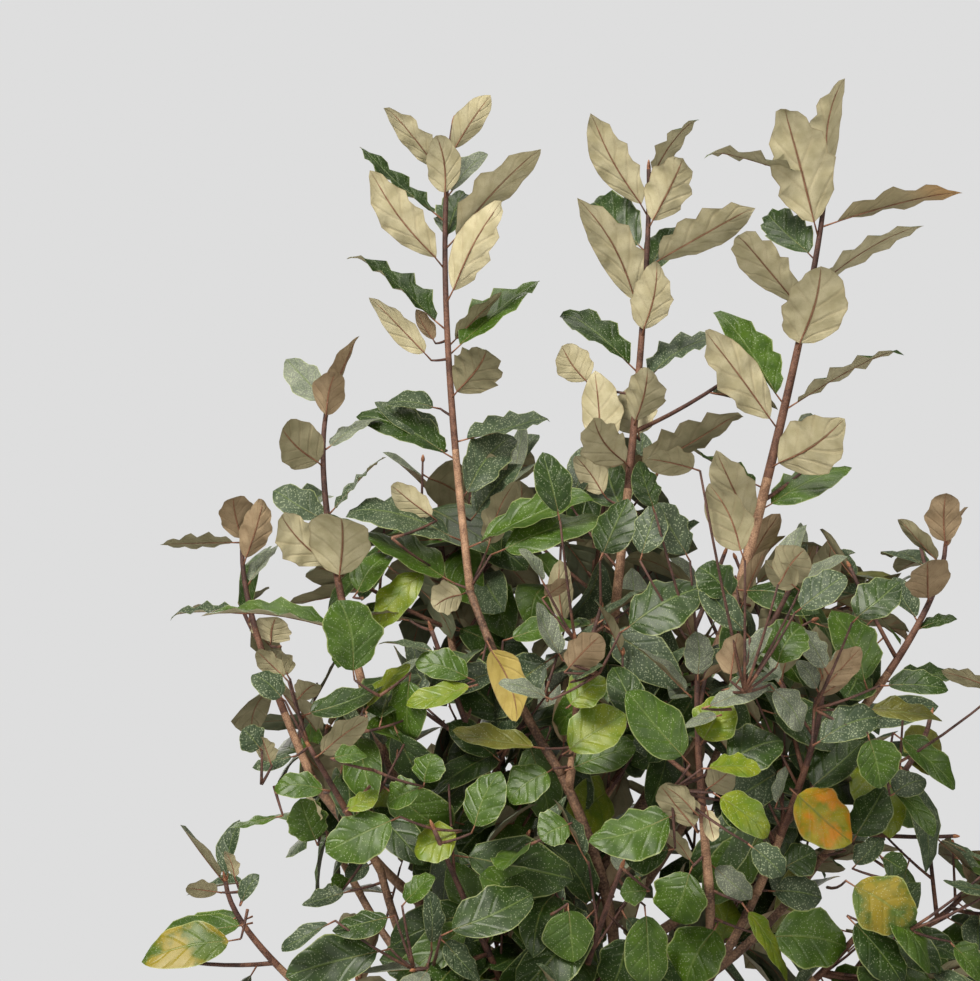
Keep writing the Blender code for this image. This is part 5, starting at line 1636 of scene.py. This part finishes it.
def looks_of(leaf, dice):
    """The kind of a leaf and the finishes of its upper side and underside."""
    luck = dice.random()
    if leaf.finish:
        kind = "broad" if leaf.width > 0.56 else "shoot" if leaf.size > 0.058 else "small"
        if leaf.seen:
            kind = "small" if leaf.finish in YOUNG_FINISHES and leaf.width < 0.5 else "seen"
        if leaf.finish in UPPER:
            return kind, leaf.finish, "cream" if leaf.size > 0.058 else "beige"
        return kind, "shaded_deep" if leaf.finish in ("cream", "scorched") else "silver", leaf.finish
    if leaf.young > 0.7:
        return "young", "silver" if luck < 0.45 else "frosted", "bronze" if luck < 0.3 else "beige"
    if leaf.young > 0.3 and luck < 0.25:
        return "young", "frosted", "beige"
    # Crown leaves: the deep green top is partly painted shade, and the sage underside is painted shade, for
    # the inside of the crown.
    spray = (leaf.spray + 0.25 * luck) % 1.0
    top = "shaded_deep" if spray < 0.44 else "green" if spray < 0.80 else "fresh" if spray < 0.88 else (
        "olive" if spray < 0.91 else "frosted")
    return "crown", top, "cream" if luck < 0.06 else "shaded_sage" if luck < 0.62 else "beige"


names = list(LEAF_FINISHES)
stalk_shapes = []
for name, part in growth.items():
    dice = random.Random(MASSES[name][6] + 2000)
    blanks, shapes, slots = [], [], []
    for leaf in part["leaves"]:
        kind, top, bottom = looks_of(leaf, dice)
        shape = Shape(leaf, kind, dice)
        blanks.append(shape.blank)
        shapes.append(shape.blade_verts())
        stalk_shapes.append(shape.stalk_verts())
        slots.append((names.index(top), names.index(bottom)))
    mesh = joined(name.replace("mass", "leaves"), blanks, shapes, slots)
    for material in LEAF_FINISHES.values():
        mesh.materials.append(material)
    leaves = link(mesh.name, mesh)
    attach(leaves, "root")
    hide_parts(name)

mesh = joined("leaf_stalks", [stalk_blank] * len(stalk_shapes), stalk_shapes)
mesh.materials.append(
    bark("leaf stalk", (0.150, 0.052, 0.028), (0.340, 0.165, 0.095), 120.0, 1500.0, 0.0002))
stalks = link("leaf_stalks", mesh)
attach(stalks, "root")
for blank in grids:
    bpy.data.meshes.remove(blank)


# Studio
# A plain pale floor, an even pale surround and five large soft lights. The camera stands 2.4 m
# in front of the plant, 0.55 m above the floor, and looks slightly up at the crown.

SURROUND = (0.730, 0.730, 0.730, 1.0)
AMBIENT = (0.092, 0.089, 0.082, 1.0)
LIGHT_TINT = (1.0, 0.965, 0.88)

bm = bmesh.new()
bmesh.ops.create_circle(bm, cap_ends=True, segments=96, radius=4.5)
mesh = mesh_of("floor", bm)
floor = link("floor", mesh)
floor_finish, tree, shader, add = finish("pale floor", 0.8)
tone = add("ShaderNodeTexNoise", {"Vector": object_place(add), "Scale": 3.0, "Detail": 4.0})
shade = mix(add, tone.outputs["Fac"], (0.56, 0.56, 0.56, 1.0), (0.60, 0.60, 0.60, 1.0))
feed(tree, shader, {"Base Color": shade})
mesh.materials.append(floor_finish)

world = bpy.data.worlds.new("surround")
world.use_nodes = True
tree = world.node_tree
seen = tree.nodes["Background"]
seen.inputs["Color"].default_value = SURROUND
cast = tree.nodes.new("ShaderNodeBackground")
cast.inputs["Color"].default_value = AMBIENT
path = tree.nodes.new("ShaderNodeLightPath")
blend = tree.nodes.new("ShaderNodeMixShader")
tree.links.new(path.outputs["Is Camera Ray"], blend.inputs[0])
tree.links.new(cast.outputs[0], blend.inputs[1])
tree.links.new(seen.outputs[0], blend.inputs[2])
tree.links.new(blend.outputs[0], tree.nodes["World Output"].inputs["Surface"])
bpy.context.scene.world = world
for label, place, size, power in (
        ("key light", (-1.5, -2.0, 2.7), 1.1, 150.0),
        ("front light", (0.4, -3.0, 1.1), 1.8, 34.0),
        ("side light", (2.4, -1.0, 1.6), 1.4, 20.0),
        ("top light", (0.1, 0.3, 3.2), 1.6, 34.0),
        ("rear light", (-0.8, 3.0, 1.6), 2.0, 34.0)):
    lamp = bpy.data.lights.new(label, "AREA")
    lamp.size = size
    lamp.energy = power
    lamp.color = LIGHT_TINT
    light = bpy.data.objects.new(label, lamp)
    light.location = place
    light.rotation_euler = (CAMERA_AIM - Vector(place)).to_track_quat("-Z", "Y").to_euler()
    bpy.context.scene.collection.objects.link(light)

lens = bpy.data.cameras.new("camera")
lens.lens = CAMERA_LENS
lens.sensor_width = SENSOR_WIDTH
lens.sensor_fit = "HORIZONTAL"
camera = bpy.data.objects.new("camera", lens)
camera.location = CAMERA_PLACE
camera.rotation_euler = (CAMERA_AIM - CAMERA_PLACE).to_track_quat("-Z", "Y").to_euler()
bpy.context.scene.collection.objects.link(camera)
bpy.context.scene.camera = camera
bpy.context.scene.view_settings.view_transform = "Standard"
